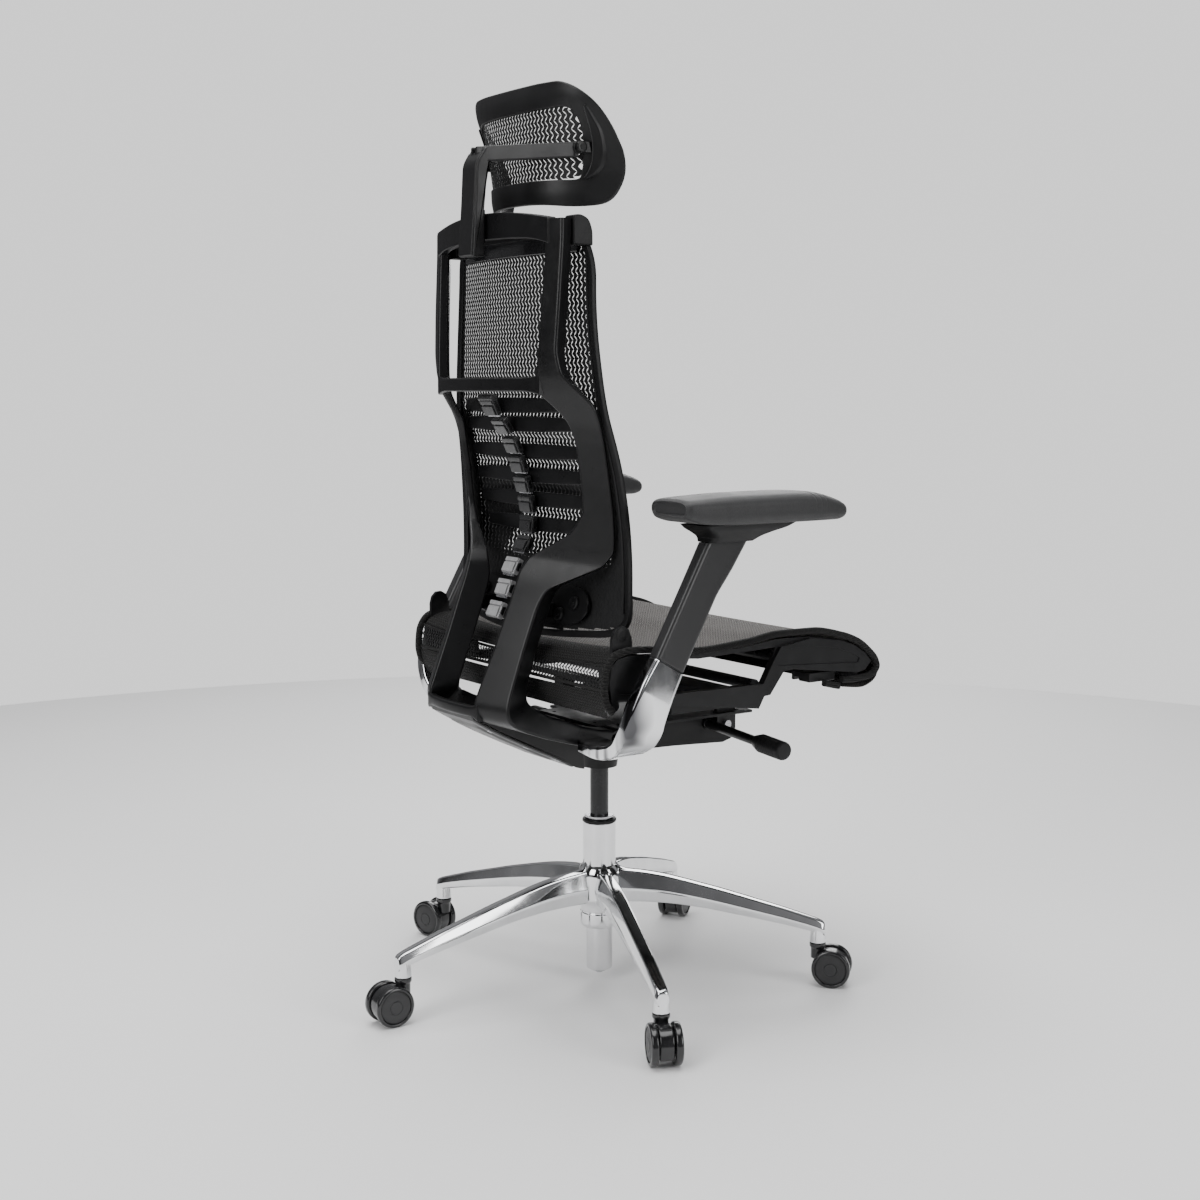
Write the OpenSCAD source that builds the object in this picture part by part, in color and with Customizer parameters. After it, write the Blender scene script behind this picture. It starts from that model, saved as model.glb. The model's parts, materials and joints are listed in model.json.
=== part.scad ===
// Swivel task chair: mesh back on a bent outer frame, mesh seat, adjustable
// headrest and arms, synchro tilt, gas lift, five-leg base on twin castors.
// Millimetres, Z up, the chair faces -Y, origin on the floor at the column axis.

/* [Base] */
// Distance from the column axis to each castor stem
base_r = 335; // [325:1:345]
// Height of the underside of each leg tip above the floor
tip_z = 66; // [66:1:70]
// Turn of the base under the seat, in degrees
base_turn = 160; // [150:1:170]
// Width of each leg at its top edge near the tip
leg_w = 17; // [14:1:20]

/* [Castors] */
// Diameter of each castor wheel
wheel_d = 59; // [56:1:60]
// Width of one wheel
wheel_w = 11; // [9:1:12]
// Trail from the stem to the axle
trail = 22; // [20:1:24]
// Width of the castor body between the wheels
hood_w = 21.4; // [18:0.2:22]

/* [Column] */
// Outer diameter of the column tube
column_d = 50; // [48:1:52]
// Diameter of the gas cylinder
cyl_d = 28; // [28:1:28]
// Height of the top of the column tube
column_top = 255; // [248:1:258]

/* [Seat] */
// Half of the seat's width over the rim
seat_hw = 262.5; // [262:0.5:266]
// Diameter of the seat cross tubes
tube_d = 16; // [12:1:18]

/* [Back] */
// Depth of the mesh sheet solids
mesh_t = 4; // [3:0.5:5]
// Height of one spine rib
rib_h = 23; // [18:1:24]

/* [Arms] */
// Distance from the middle of the chair to each arm upright
arm_x = 289.5; // [288:0.5:292]
// Lean of the arm uprights towards the front, in degrees
arm_lean = 29; // [29:1:29]
// Width of an arm pad
pad_w = 97; // [84:1:98]
// Length of an arm pad
pad_l = 290; // [260:2:290]
// How far forward the left pad stands
pad_left_fwd = 64; // [40:1:66]

/* [Headrest] */
// Half of the headrest's width
head_hw = 156.5; // [152:0.5:158]

/* [Hidden] */
$fn = 48;

black = [0.13, 0.13, 0.135];
soft = [0.2, 0.2, 0.2];
grey = [0.3, 0.3, 0.31];
steel = [0.62, 0.62, 0.64];
chrome = [0.85, 0.85, 0.87];

// direction of each castor's trail, measured from the plan X axis
castor_turn = [155, 222, 304, 17, 89];

// ---------------------------------------------------------------- helpers
function total(v) = v * [for (i = v) 1];
function lerp(a, b, t) = a + (b - a) * t;
// value of a table of [key, value] rows at x, straight between rows
function look(x, tab) = lookup(x, tab);
function spin(p, a) = [p[0] * cos(a) - p[1] * sin(a), p[0] * sin(a) + p[1] * cos(a)];

// Closed or open skin through sections of equal point count, turned outward
// by its own signed volume.
module skin(secs, ring = false, strip = false) {
  m = len(secs);
  n = len(secs[0]);
  pts = [for (s = secs) for (p = s) p];
  last = ring ? m - 1 : m - 2;
  sides = [for (i = [0:last]) for (j = [0:n - 1])
    let (a = i * n + j, b = i * n + (j + 1) % n,
         c = ((i + 1) % m) * n + (j + 1) % n, d = ((i + 1) % m) * n + j)
    each [[a, b, c], [a, c, d]]];
  e = (m - 1) * n;
  caps = ring ? [] : strip
    ? [for (j = [0:n / 2 - 2]) let (k = n - 1 - j) each [[j, k, k - 1], [j, k - 1, j + 1], [e + j, e + k - 1, e + k], [e + j, e + j + 1, e + k - 1]]]
    : [for (j = [1:n - 2]) each [[0, j + 1, j], [e, e + j, e + j + 1]]];
  all = concat(sides, caps);
  vol = total([for (f = all) cross(pts[f[0]], pts[f[1]]) * pts[f[2]]]);
  polyhedron(points = pts, faces = vol > 0 ? [for (f = all) [f[2], f[1], f[0]]] : all, convexity = 8);
}

// Eight-sided section round a centre: half sizes a along u and b along v, corner cut c.
function oct(o, u, v, a, b, c) = [
  o + u * (a - c) + v * b, o - u * (a - c) + v * b, o - u * a + v * (b - c), o - u * a - v * (b - c),
  o - u * (a - c) - v * b, o + u * (a - c) - v * b, o + u * a - v * (b - c), o + u * a + v * (b - c)];

module both() { children(); mirror([1, 0, 0]) children(); }
// outline in the side view (y, z) made into a plate from x0 to x1
module side_plate(x0, x1) { translate([x0, 0, 0]) rotate([90, 0, 90]) linear_extrude(x1 - x0) children(); }
// bar along X
module xbar(d, x0, x1, y, z) { translate([x0, y, z]) rotate([0, 90, 0]) cylinder(d = d, h = x1 - x0); }

// ---------------------------------------------------------------- base
function leg_angle(i) = base_turn + 72 * i;
module at_tip(i) { rotate([0, 0, leg_angle(i)]) translate([base_r, 0, 0]) children(); }

// one leg: [distance, top, underside, half width at the top, half width at the underside]
leg_tab = [[29, 176.5, 126.5, 10, 14], [64, 173, 127, 10, 14], [95, 169, 126.5, 10, 14], [125, 162.5, 124, 10, 14], [155, 155, 120, 9.5, 13.5],
           [186, 147, 114, 9.5, 13.5], [247, 129, 102.5, 9, 13], [278, 120, 96, 9, 12.5], [309, 110, 88.5, leg_w / 2, 12], [base_r - 1, 102, 84, leg_w / 2, 11]];
module leg() {
  skin([for (s = leg_tab) let (w = (s[3] + s[4]) / 2 + 1, zm = lerp(s[2], s[1], 0.45))
    [[s[0], -s[3], s[1]], [s[0], s[3], s[1]], [s[0], w, zm], [s[0], s[4] - 2, s[2]], [s[0], -s[4] + 2, s[2]], [s[0], -w, zm]]]);
}
module base_star() {
  color(chrome) difference() {
    union() {
      for (i = [0:4]) {
        rotate([0, 0, leg_angle(i)]) leg();
        at_tip(i) translate([0, 0, tip_z]) cylinder(d1 = 25, d2 = 20, h = 99 - tip_z);
      }
      translate([0, 0, 87]) cylinder(d1 = 52, d2 = 59.5, h = 6);
      translate([0, 0, 93]) cylinder(d = 59.5, h = 18);
      translate([0, 0, 110.9]) cylinder(d = 57, h = 20);
      translate([0, 0, 130]) cylinder(d = 66, h = 42);
      translate([0, 0, 171.9]) cylinder(d1 = 66, d2 = 53, h = 12);
    }
    // taper seat of the column
    translate([0, 0, 80]) cylinder(d = 40, h = 30);
    translate([0, 0, 109.99]) cylinder(d1 = 40, d2 = column_d + 0.04, h = 74.1);
    for (i = [0:4]) at_tip(i) translate([0, 0, tip_z - 1]) cylinder(d = 15, h = 27);
  }
}
module stem_sleeves() {
  color(steel) for (i = [0:4]) at_tip(i) translate([0, 0, tip_z + 0.2]) difference() {
    cylinder(d = 15, h = 25.6);
    translate([0, 0, -1]) cylinder(d = 11.1, h = 28);
  }
}
module column_tube() {
  color(chrome) difference() {
    union() {
      translate([0, 0, 184]) cylinder(d = column_d, h = column_top - 184);
      translate([0, 0, 110]) cylinder(d1 = 39.9, d2 = column_d - 0.04, h = 74.01);
      translate([0, 0, 19]) cylinder(d = 39.6, h = 91.01);
    }
    translate([0, 0, 188]) cylinder(d = column_d - 4, h = 200);
    translate([0, 0, 34]) cylinder(d = 34, h = 200);
    translate([0, 0, 10]) cylinder(d = 16, h = 40);
  }
}
module guide_bush() {
  color(soft) difference() {
    union() {
      translate([0, 0, 189]) cylinder(d = column_d - 4, h = column_top - 189);
      translate([0, 0, column_top]) cylinder(d = column_d - 0.6, h = 3);
    }
    translate([0, 0, 170]) cylinder(d = cyl_d + 0.1, h = 200);
  }
}
module column_ring() {
  color(black) translate([0, 0, column_top - 4]) difference() {
    cylinder(d = column_d + 2, h = 4);
    translate([0, 0, -1]) cylinder(d = column_d, h = 6);
  }
}
module thrust_bearing() {
  color(steel) translate([0, 0, 34]) difference() {
    cylinder(d = 30, h = 9);
    translate([0, 0, -1]) cylinder(d = 10.1, h = 11);
  }
}
module retaining_clip() {
  color(steel) translate([0, 0, 15.5]) difference() {
    cylinder(d = 22, h = 2.4);
    translate([0, 0, -1]) cylinder(d = 10.1, h = 6);
  }
}
module piston_rod() {
  color(steel) union() {
    translate([0, 0, 12]) cylinder(d = 10, h = 178);
    translate([0, 0, 184]) cylinder(d = 19.9, h = 12);
  }
}
module gas_cylinder() {
  color(black) difference() {
    union() {
      translate([0, 0, 118]) cylinder(d = cyl_d, h = 222);
      translate([0, 0, 340]) cylinder(d1 = cyl_d, d2 = 26, h = 54);
      translate([0, 0, 394]) cylinder(d = 8, h = 8);
    }
    translate([0, 0, 128]) cylinder(d = 20, h = 204);
    translate([0, 0, 110]) cylinder(d = 10.1, h = 30);
  }
}

// ---------------------------------------------------------------- castors
module at_castor(i) { at_tip(i) rotate([0, 0, castor_turn[i] - leg_angle(i)]) children(); }
module castor_hood(i) {
  color(black) at_castor(i) difference() {
    union() {
      translate([trail, hood_w / 2, wheel_d / 2]) rotate([90, 0, 0]) cylinder(d = wheel_d - 7, h = hood_w);
      translate([0, 0, 38]) cylinder(d = 21, h = 24);
      translate([0, 0, 60.5]) cylinder(d = 25, h = tip_z - 61.1);
    }
    translate([-60, -60, -1]) cube([140, 120, 9]);
    translate([trail, 40, wheel_d / 2]) rotate([90, 0, 0]) cylinder(d = 8.02, h = 80);
    translate([0, 0, 44]) cylinder(d = 11.02, h = 60);
  }
}
module castor_pins(i) {
  color(steel) at_castor(i) {
    translate([0, 0, 44.2]) cylinder(d = 11, h = tip_z - 22);
    translate([trail, 19, wheel_d / 2]) rotate([90, 0, 0]) cylinder(d = 8, h = 38);
  }
}
module castor_wheels(i) {
  y0 = hood_w / 2 + 0.5;
  r = wheel_d / 2;
  color(black) at_castor(i) for (s = [-1, 1]) translate([trail, s * y0, r]) rotate([-s * 90, 0, 0]) difference() {
    rotate_extrude($fn = 72) polygon([[4.05, 0], [r - 2, 0], [r - 0.6, 0.6], [r, 2], [r, wheel_w - 4], [r - 0.8, wheel_w - 2],
      [r - 3, wheel_w - 0.4], [r - 5, wheel_w - 0.6], [r - 9, wheel_w], [4.05, wheel_w]]);
    translate([0, 0, -1]) cylinder(d = 8.1, h = wheel_w - 2);
  }
}

// band of even thickness inside a line given from one end to the other
function unit2(v) = v / norm(v);
function turn_left(v) = [-v[1], v[0]];
function band_in(p, t) = [for (i = [0:len(p) - 1])
  let (a = p[max(0, i - 1)], b = p[min(len(p) - 1, i + 1)], n = turn_left(unit2(b - a))) p[i] + n * t];
function band(p, t) = let (q = band_in(p, t)) concat(p, [for (i = [len(p) - 1:-1:0]) q[i]]);

// ---------------------------------------------------------------- tilt mechanism
recline_y = 45; recline_z = 400;
seatpiv_y = -172; seatpiv_z = 397;
lever_y = -146; lever_z = 399;
module mechanism_housing() {
  color(black) difference() {
    union() {
      side_plate(-77, 77) polygon([[-203, 386], [-200, 374], [-193, 369], [-178, 365], [-85, 370], [20, 373], [58, 377], [66, 384], [66, 412], [-203, 412]]);
      translate([0, 0, 337]) cylinder(d1 = 54, d2 = 68, h = 42);
    }
    // open tray inside
    side_plate(-70, 70) polygon([[-196, 388], [-193, 377], [-186, 373], [-85, 377], [-40, 378], [-40, 413], [-196, 413]]);
    side_plate(-70, 70) polygon([[36, 382], [56, 384], [60, 390], [60, 413], [36, 413]]);
    // taper seat of the gas cylinder
    translate([0, 0, 330]) cylinder(d = 28.2, h = 10.01);
    translate([0, 0, 340]) cylinder(d1 = 28.02, d2 = 26.02, h = 54.01);
    translate([0, 0, 393]) cylinder(d = 14, h = 30);
    xbar(14.04, -80, 80, recline_y, recline_z);
    xbar(12.04, -80, 80, seatpiv_y, seatpiv_z);
    xbar(18, -80, -60, lever_y, lever_z - 0.5);
    xbar(18, 60, 80, lever_y, lever_z - 0.5);
  }
}
module top_plate() {
  color(grey) difference() {
    union() {
      translate([-104, -214, 412.2]) cube([208, 236, 4]);
      translate([-80, 0, 412.2]) cube([160, 58, 4]);
    }
    translate([0, 0, 400]) cylinder(d = 20, h = 30);
    for (x = [-55, 55]) for (y = [-190, 46]) translate([x, y, 400]) cylinder(d = 6, h = 30);
    for (s = [-1, 1]) translate([s * 87 - 6, -196, 400]) cube([12, 48, 30]);
  }
}
module pivot_shafts() {
  color(steel) { xbar(14, -118, 118, recline_y, recline_z); xbar(12, -98, 98, seatpiv_y, seatpiv_z); }
}
module tilt_spring() {
  // coil of the tilt spring, wound round an axis along the chair
  turns = 7;
  color(steel) skin([for (k = [0:turns * 12])
    let (a = k * 30, y = -158 + 112 * k / (turns * 12), o = [34 + 12 * cos(a), y, 396 + 10 * sin(a)],
         u = [cos(a), 0, sin(a)], v = [0, 1, 0])
    [for (q = [0:60:300]) o + u * 2.2 * cos(q) + v * 2.2 * sin(q)]]);
}
module on_lever() { translate([-66, lever_y, lever_z]) rotate([0, -94, 0]) children(); }
module lift_lever() { color(black) on_lever() { cylinder(d = 14, h = 184); translate([0, 0, -4]) cylinder(d = 16, h = 20); } }
module grip_shape() {
  translate([0, 0, 130]) cylinder(d1 = 18, d2 = 27, h = 12);
  translate([0, 0, 142]) cylinder(d = 28, h = 50);
  translate([0, 0, 192]) cylinder(d1 = 28, d2 = 24, h = 4);
}
module tension_grip() {
  color(black) on_lever() difference() {
    grip_shape();
    translate([0, 0, 120]) cylinder(d = 14.1, h = 64.4);
  }
}
module tilt_lever() {
  color(black) mirror([1, 0, 0]) on_lever() { cylinder(d = 14, h = 184); translate([0, 0, -4]) cylinder(d = 16, h = 20); grip_shape(); }
}

// ---------------------------------------------------------------- seat
depth_y = -128; depth_z = 436;
module seat_carrier() {
  color(grey) difference() {
    union() {
      translate([-74, -192, 446]) cube([148, 244, 5]);
      for (s = [-1, 1]) {
        // ears down to the front shaft
        translate([s * 87 - 4, -190, 388]) cube([8, 34, 58.5]);
        translate([min(s * 73, s * 91), -190, 446]) cube([18, 36, 5]);
        for (y = [-60, 22]) translate([s * 62 - 12, y - 11, 450.5]) cube([24, 22, 17]);
      }
      for (y = [-60, 22]) translate([-234, y - 9, 467]) cube([468, 18, 9]);
      for (s = [-1, 1]) for (y = [-60, 22]) translate([s * 237 - 6, y - 24, 463.6]) cube([12, 48, 16]);
      // lug of the depth lever
      translate([-82, -138, 426]) cube([8.5, 20, 25]);
    }
    xbar(8.1, -90, -60, depth_y, depth_z);
    xbar(12.1, -120, 120, seatpiv_y, seatpiv_z);
  }
}
// side rim of the seat, from the rear lower corner over the top and round the nose
rim_line = [[158, 470], [170, 484], [174, 504], [172, 528], [164, 546], [150, 557], [128, 561], [76, 558], [5, 551], [-76, 556], [-136, 563], [-198, 562.5],
            [-257, 551.5], [-288, 540], [-311, 524], [-327, 507], [-331, 495], [-324, 483], [-308, 476], [-270, 474], [-222, 483]];
// how far the mesh hangs between its side rims
seat_sag = 10;
// mesh sheet a little lower and further forward
mesh_line = [[150, 462], [162, 476], [168, 500], [167, 524], [158, 543], [145, 553], [124, 557], [76, 554], [5, 547], [-76, 550], [-136, 557], [-198, 556],
             [-257, 546.5], [-300, 536], [-330, 524], [-352, 509], [-361, 496], [-357, 482], [-344, 472], [-318, 466], [-270, 470]];
side_top = [[148, 546], [128, 549.5], [76, 546.5], [5, 539.5], [-76, 543], [-136, 549.5], [-198, 548.5], [-257, 539], [-282, 530.5], [-302, 517], [-315, 503]];
side_low = [[-303, 491], [-289, 488], [-164, 504], [-145, 503], [-120, 471], [-109, 470], [-99, 453], [51, 473], [107, 485], [144, 490], [160, 486], [161, 516], [158, 536]];
side_hole = [[66, 539], [6, 533.5], [-72, 536], [-133, 538], [-126, 520], [-107, 488], [66, 489]];
module seat_side_frames() {
  color(black) both() {
    difference() {
      union() {
        side_plate(-252, -246) polygon(concat(side_top, side_low));
        side_plate(-258, -252) polygon([[-139, 538.5], [-198, 547], [-257, 538], [-281, 529.5], [-302, 517], [-315, 503], [-303, 491], [-289, 488], [-164, 504], [-145, 503],
          [-120, 471], [-109, 470], [-99, 453], [51, 473], [107, 485], [144, 490], [157.5, 487.5], [160, 516], [157.5, 535.5], [147.5, 545.5], [128, 549], [74, 546], [66, 489], [-107, 488], [-126, 520]]);
      }
      side_plate(-270, -240) polygon(side_hole);
      // pressed recesses of the front plate and the rear panel
      side_plate(-270, -256.5) polygon([[-146, 534], [-199, 536], [-250, 527], [-285, 515], [-292, 509], [-288, 503], [-132, 512]]);
      side_plate(-270, -256.5) polygon([[84, 540], [90, 543], [140, 543], [148, 539], [152, 504], [146, 498], [106, 494], [98, 498]]);
      xbar(tube_d, -247, -230, -100, 486);
    }
    // channel that takes the carrier's shoes
    difference() {
      side_plate(-246, -229) polygon([[-104, 458], [48, 458], [48, 485], [-104, 485]]);
      translate([-243.3, -200, 463.3]) cube([14, 300, 16.6]);
      translate([-243, -200, 466.5]) cube([20, 300, 10]);
    }
    // upright for the lower corner of the back
    side_plate(-252, -246) polygon([[118, 548], [152, 546], [152, 570], [149, 581], [142, 588], [133, 589], [125, 584], [120, 572]]);
  }
}
module seat_cross_tubes() {
  color(black) {
    xbar(tube_d - 0.1, -246.5, 246.5, -100, 486);
    xbar(18, -245.6, 245.6, -290, 484);
    xbar(16, -245.6, 245.6, 144, 480);
  }
}
module seat_rim() { color(black) both() side_plate(-seat_hw, -252.5) polygon(band(rim_line, 9.6)); }
// forward reach of the nose by distance from the middle, rounded at the corners
function nose_y(x) = abs(x) < 205 ? -365 + 7 * pow(x / 205, 2) : -301 - sqrt(57 * 57 - pow(abs(x) - 205, 2));
mesh_band = band(mesh_line, 6);
module seat_mesh() {
  xs = [245.5, 238, 228, 215, 200, 160, 110, 55];
  color([0.35, 0.32, 0.3]) skin([for (x = concat([for (x = xs) -x], [0], [for (k = [7:-1:0]) xs[k]])) let (f = (nose_y(x) + 230) / -131)
    [for (q = mesh_band) [x, q[0] < -230 ? -230 + (q[0] + 230) * f : q[0], q[1] - seat_sag * (1 - pow(x / 245.5, 2)) * max(0, min(1, (q[1] - 490) / 40)) * max(0, min(1, (q[0] + 330) / 130))]]], strip = true);
}
module depth_lever() {
  // paddle under the right rail
  color(black) { xbar(8, -100, -72, depth_y, depth_z); xbar(14, -128, -83.5, depth_y, depth_z); translate([-128, -176, 431]) cube([34, 44, 6]); }
}
module front_clip() {
  color(grey) translate([-245.9, -254, 478.5]) difference() { cube([39.9, 50, 14]); translate([24, -1, -1]) cube([10, 60, 6]); }
}

// ---------------------------------------------------------------- back frame
// rows down one side: outer edge x, y, z, inner edge x, y, z, depth outside, depth inside, turn of the rear face
frame_tab = [
  [171, 177, 1136, 143, 186.5, 1136, 23, 14, 19], [171, 177.5, 1102, 143, 187, 1102, 23, 14, 19], [169, 182.5, 1016, 139, 192.5, 1016, 23, 14, 19],
  [166, 185.5, 955, 136, 196, 955, 23, 15, 19], [170, 180, 925, 134, 198, 924, 20, 16, 22], [185.5, 162.5, 903.5, 131, 195.5, 902, 14, 15, 28],
  [197, 144, 882, 143, 176, 882, 9, 13, 31], [195.5, 134, 858, 151.5, 157, 860, 7, 12, 31], [195, 126.5, 831, 157, 148.5, 831, 6, 11, 31],
  [196, 119, 785, 157, 141, 785, 6, 11, 31], [198, 113.5, 738, 157, 136, 738, 6, 11, 31], [197, 111, 707, 139, 144, 708, 6, 13, 31],
  [194.5, 110, 681, 107.5, 160.5, 688, 6, 20, 31], [180, 119, 661, 80, 177, 671, 7, 26, 30], [151.5, 142, 646, 71, 186.5, 652, 18, 32, 29],
  [118, 170, 628, 69.5, 193, 632, 34, 38, 27], [112, 181.5, 604, 69, 204, 604, 40, 40, 27], [111, 204, 543, 67, 227.5, 543, 40, 40, 27],
  [113.5, 225.5, 481, 64, 251.5, 481, 42, 40, 27], [118.5, 235.5, 460, 63, 258.5, 465, 46, 40, 27], [116, 237, 444, 62, 261, 447, 50, 40, 27]];
function frame_sec(r) = let (n = [sin(r[8]), -cos(r[8]), 0], o = [-r[0], r[1], r[2]], i = [-r[3], r[4], r[5]])
  [o, i, i + n * r[7], o + n * r[6]];
// cross bar between the two sides: end x, rear y at the end, rear y in the middle, z low, z high, depth, arch of both edges
module crossbar(xe, ye, ym, z0, z1, d, a0 = 0, a1 = 0) {
  skin([for (k = [-6:6]) let (x = xe * k / 6, t = 1 - pow(k / 6, 2), y = lerp(ye, ym, t))
    [[x, y, z0 + a0 * t], [x, y, z1 + a1 * t], [x, y - d, z1 + a1 * t], [x, y - d, z0 + a0 * t]]]);
}
module foot_arm() {
  // from the bottom of a leg forward to the recline shaft: y, inner x, outer x, z low, z high
  skin([for (r = [[252, 63, 100, 440, 468], [233, 66, 117, 434, 470], [205, 74, 118, 428, 464], [177, 80, 118, 418, 453], [137, 84, 117, 406, 440],
                  [105, 84, 117, 397, 427], [77, 84, 117, 389.5, 419], [45, 84, 117, 386, 414], [32, 84, 117, 391, 409]])
    [[-r[2], r[0], r[3] + 4], [-r[2], r[0], r[4] - 4], [-r[2] + 4, r[0], r[4]], [-r[1], r[0], r[4]], [-r[1], r[0], r[3]], [-r[2] + 4, r[0], r[3]]]]);
}
module back_frame() {
  color(black) difference() {
    union() {
      both() { skin([for (r = frame_tab) frame_sec(r)]); foot_arm(); }
      crossbar(149, 189.5, 202, 1104.5, 1135.5, 14, 8, 14);
      crossbar(138, 194, 212, 901.5, 922.5, 12);
      crossbar(66, 256, 264, 447.5, 464, 12);
    }
    xbar(14.1, -130, 130, recline_y, recline_z);
  }
}
module back_cover() {
  // belly pan between the foot arms
  color(grey) {
    side_plate(-62, 62)
      polygon([[256, 444], [257, 438], [212, 415], [162, 390], [111, 366], [86, 352], [84, 357], [108, 371], [162, 398], [212, 423], [250, 445]]);
    // side walls up to the foot arms
    both() side_plate(-62, -57.5) polygon([[84, 356], [108, 370], [162, 397], [212, 422], [244, 440.5], [240, 443], [230, 440], [205, 433], [177, 423], [137, 411], [105, 402], [90, 396], [84, 385]]);
  }
}
// mesh back: half width, edge depth and middle depth by height
back_hw = [[560, 221], [600, 220], [698, 217], [780, 210], [860, 197], [919, 187.5], [1001, 177], [1104, 171], [1136, 169]];
back_ye = [[560, 104], [600, 103.5], [650, 101.5], [698, 102.5], [780, 109.5], [831, 117.5], [860, 124], [919, 129.5], [1001, 132], [1104, 131], [1136, 131]];
back_ym = [[540, 138], [564, 134], [604, 121], [650, 105], [707, 96], [750, 101], [795, 112], [831, 123], [850, 130], [913, 143.5], [1000, 150], [1104, 154], [1136, 155]];
function sheet_y(x, z, dz = 0) = let (t = min(1, abs(x) / look(z, back_hw))) lerp(look(z, back_ym), look(z, back_ye), t * t);
// lower edge of the mesh back dips in the middle
function low_z(x) = 552 + 18 * pow(x / 226, 2);
module mesh_rim() {
  zs = [for (k = [0:14]) lerp(582, 1106, k / 14)];
  right = [for (z = zs) [-look(z, back_hw), look(z, back_ye), z]];
  left = [for (k = [14:-1:0]) [look(zs[k], back_hw), look(zs[k], back_ye), zs[k]]];
  topp = [for (k = [-4:4]) let (x = k * 38) [x, sheet_y(x, 1116), 1116]];
  bot = [for (k = [5:-1:-5]) let (x = k * 42) [x, sheet_y(x, low_z(x) + 6), low_z(x) + 6]];
  path = concat(right, topp, left, bot);
  n = len(path);
  color(black) {
    skin([for (i = [0:n - 1]) let (p = path[i], a = path[(i + n - 1) % n], b = path[(i + 1) % n], t = (b - a) / norm(b - a),
        u = [t[2], 0, -t[0]] / norm([t[2], 0, -t[0]]), v = [0, 1, 0])
      oct(p, u, v, 5, 4.5, 1.5)], ring = true);
    // top rail and the two blocks that carry it from the frame
    skin([for (k = [-8:8]) let (x = k * 18.5, y = sheet_y(x, 1116)) [[x, y + 3.5, 1090], [x, y + 3.5, 1115], [x, y - 3.5, 1115], [x, y - 3.5, 1090]]]);
    both() skin([for (r = [[-171, 127, 1126, 152.4], [-163.5, 127.3, 1130, 154.6], [-146.5, 128, 1133, 163]]) [[r[0], r[1], r[2]], [r[0], r[1], 1098], [r[0], r[3], 1098], [r[0], r[3], 1138]]]);
  }
}
module back_mesh() {
  color([0.1, 0.1, 0.1]) {
    // one curved sheet inside the rim
    nz = 14; nx = 8;
    skin([for (k = [0:nz]) concat(
      [for (j = [0:nx]) let (t = 2 * j / nx - 1, z = lerp(low_z(t * 218) + 13, 1086, k / nz), x = t * (look(z, back_hw) - 7.5)) [x, sheet_y(x, z) + mesh_t / 2, z]],
      [for (j = [nx:-1:0]) let (t = 2 * j / nx - 1, z = lerp(low_z(t * 218) + 13, 1086, k / nz), x = t * (look(z, back_hw) - 7.5)) [x, sheet_y(x, z) - mesh_t / 2, z]])], strip = true);
  }
}
// rear line of the spine: height and depth
spine_line = [[548, 203], [581, 191], [614, 175], [651, 160], [680, 142], [693, 134], [727, 131], [761, 138], [795, 147.5], [827, 158.5], [854, 175], [879, 194], [900, 199]];
function spine_y(z) = look(z, spine_line);
link_z = [880, 853, 826, 798, 769, 740, 711, 682, 651, 620, 589];
module spine_links() {
  color(grey) for (z = link_z) let (a = atan2(spine_y(z + 8) - spine_y(z - 8), 16)) translate([0, spine_y(z) - 6, z]) rotate([-a, 0, 0]) difference() {
    translate([-17, -6, -12.4]) cube([34, 12, 24.8]);
    translate([-10, 3, -9]) cube([20, 6, 18]);
  }
  color(grey) xbar(12, -19, 19, 193, 893.4);
}
rib_rows = [[883, 150], [856, 155], [817, 157], [782, 157], [747, 154], [711, 140]];
module spine_ribs() {
  color(black) for (r = rib_rows) let (z = r[0], xe = r[1]) translate([0, 0, z - rib_h / 2]) linear_extrude(rib_h) {
    ys = spine_y(z) - 13.8 - abs(spine_y(z + 11) - spine_y(z - 11)) / 2; ye = sheet_y(xe, z) + 9;
    polygon(concat([for (k = [-8:8]) let (t = abs(k) / 8) [xe * k / 8, lerp(ys, ye, pow(t, 1.3))]],
                   [for (k = [8:-1:-8]) let (t = abs(k) / 8) [xe * k / 8, lerp(ys, ye, pow(t, 1.3)) - 3.5]]));
  }
}
// rear face of the pelvic plate, and the seats of its four knobs on the rear face
function plate_y(x, z) = sheet_y(x, z) + mesh_t / 2 + 7;
module at_knobs() {
  both() for (p = [[-120, 606], [-92, 588]])
    let (n = [(plate_y(p[0] - 4, p[1]) - plate_y(p[0] + 4, p[1])) / 8, 1, (plate_y(p[0], p[1] - 12) - plate_y(p[0], p[1] + 12)) / 24], m = n / norm(n))
    translate([p[0], plate_y(p[0], p[1]), p[1]]) rotate([0, acos(m[2]), atan2(m[1], m[0])]) children();
}
module pelvic_support() {
  ph = [[0, 32], [60, 29], [95, 25], [121, 25], [136, 21], [145, 13], [149, 5]];
  color(black) difference() {
    union() {
      skin([for (x = [-149, -145, -136, -121, -95, -60, -30, 0, 30, 60, 95, 121, 136, 145, 149]) let (h = look(abs(x), ph)) concat(
        [for (k = [-1, -0.5, 0, 0.5, 1]) [x, plate_y(x, 602 + k * h), 602 + k * h]],
        [for (k = [1, 0.5, 0, -0.5, -1]) [x, plate_y(x, 602 + k * h) - 4, 602 + k * h]])]);
      for (s = [-1, 1]) translate([s * 70 - 7, 130.5, 582]) cube([14, 36.5, 22]);
    }
    at_knobs() cylinder(d = 8.2, h = 30, center = true);
  }
}
module pelvic_knobs() {
  color(black) at_knobs() { translate([0, 0, 0.9]) cylinder(d = 20, h = 5); translate([0, 0, -3.5]) cylinder(d = 8, h = 5); }
}

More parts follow.
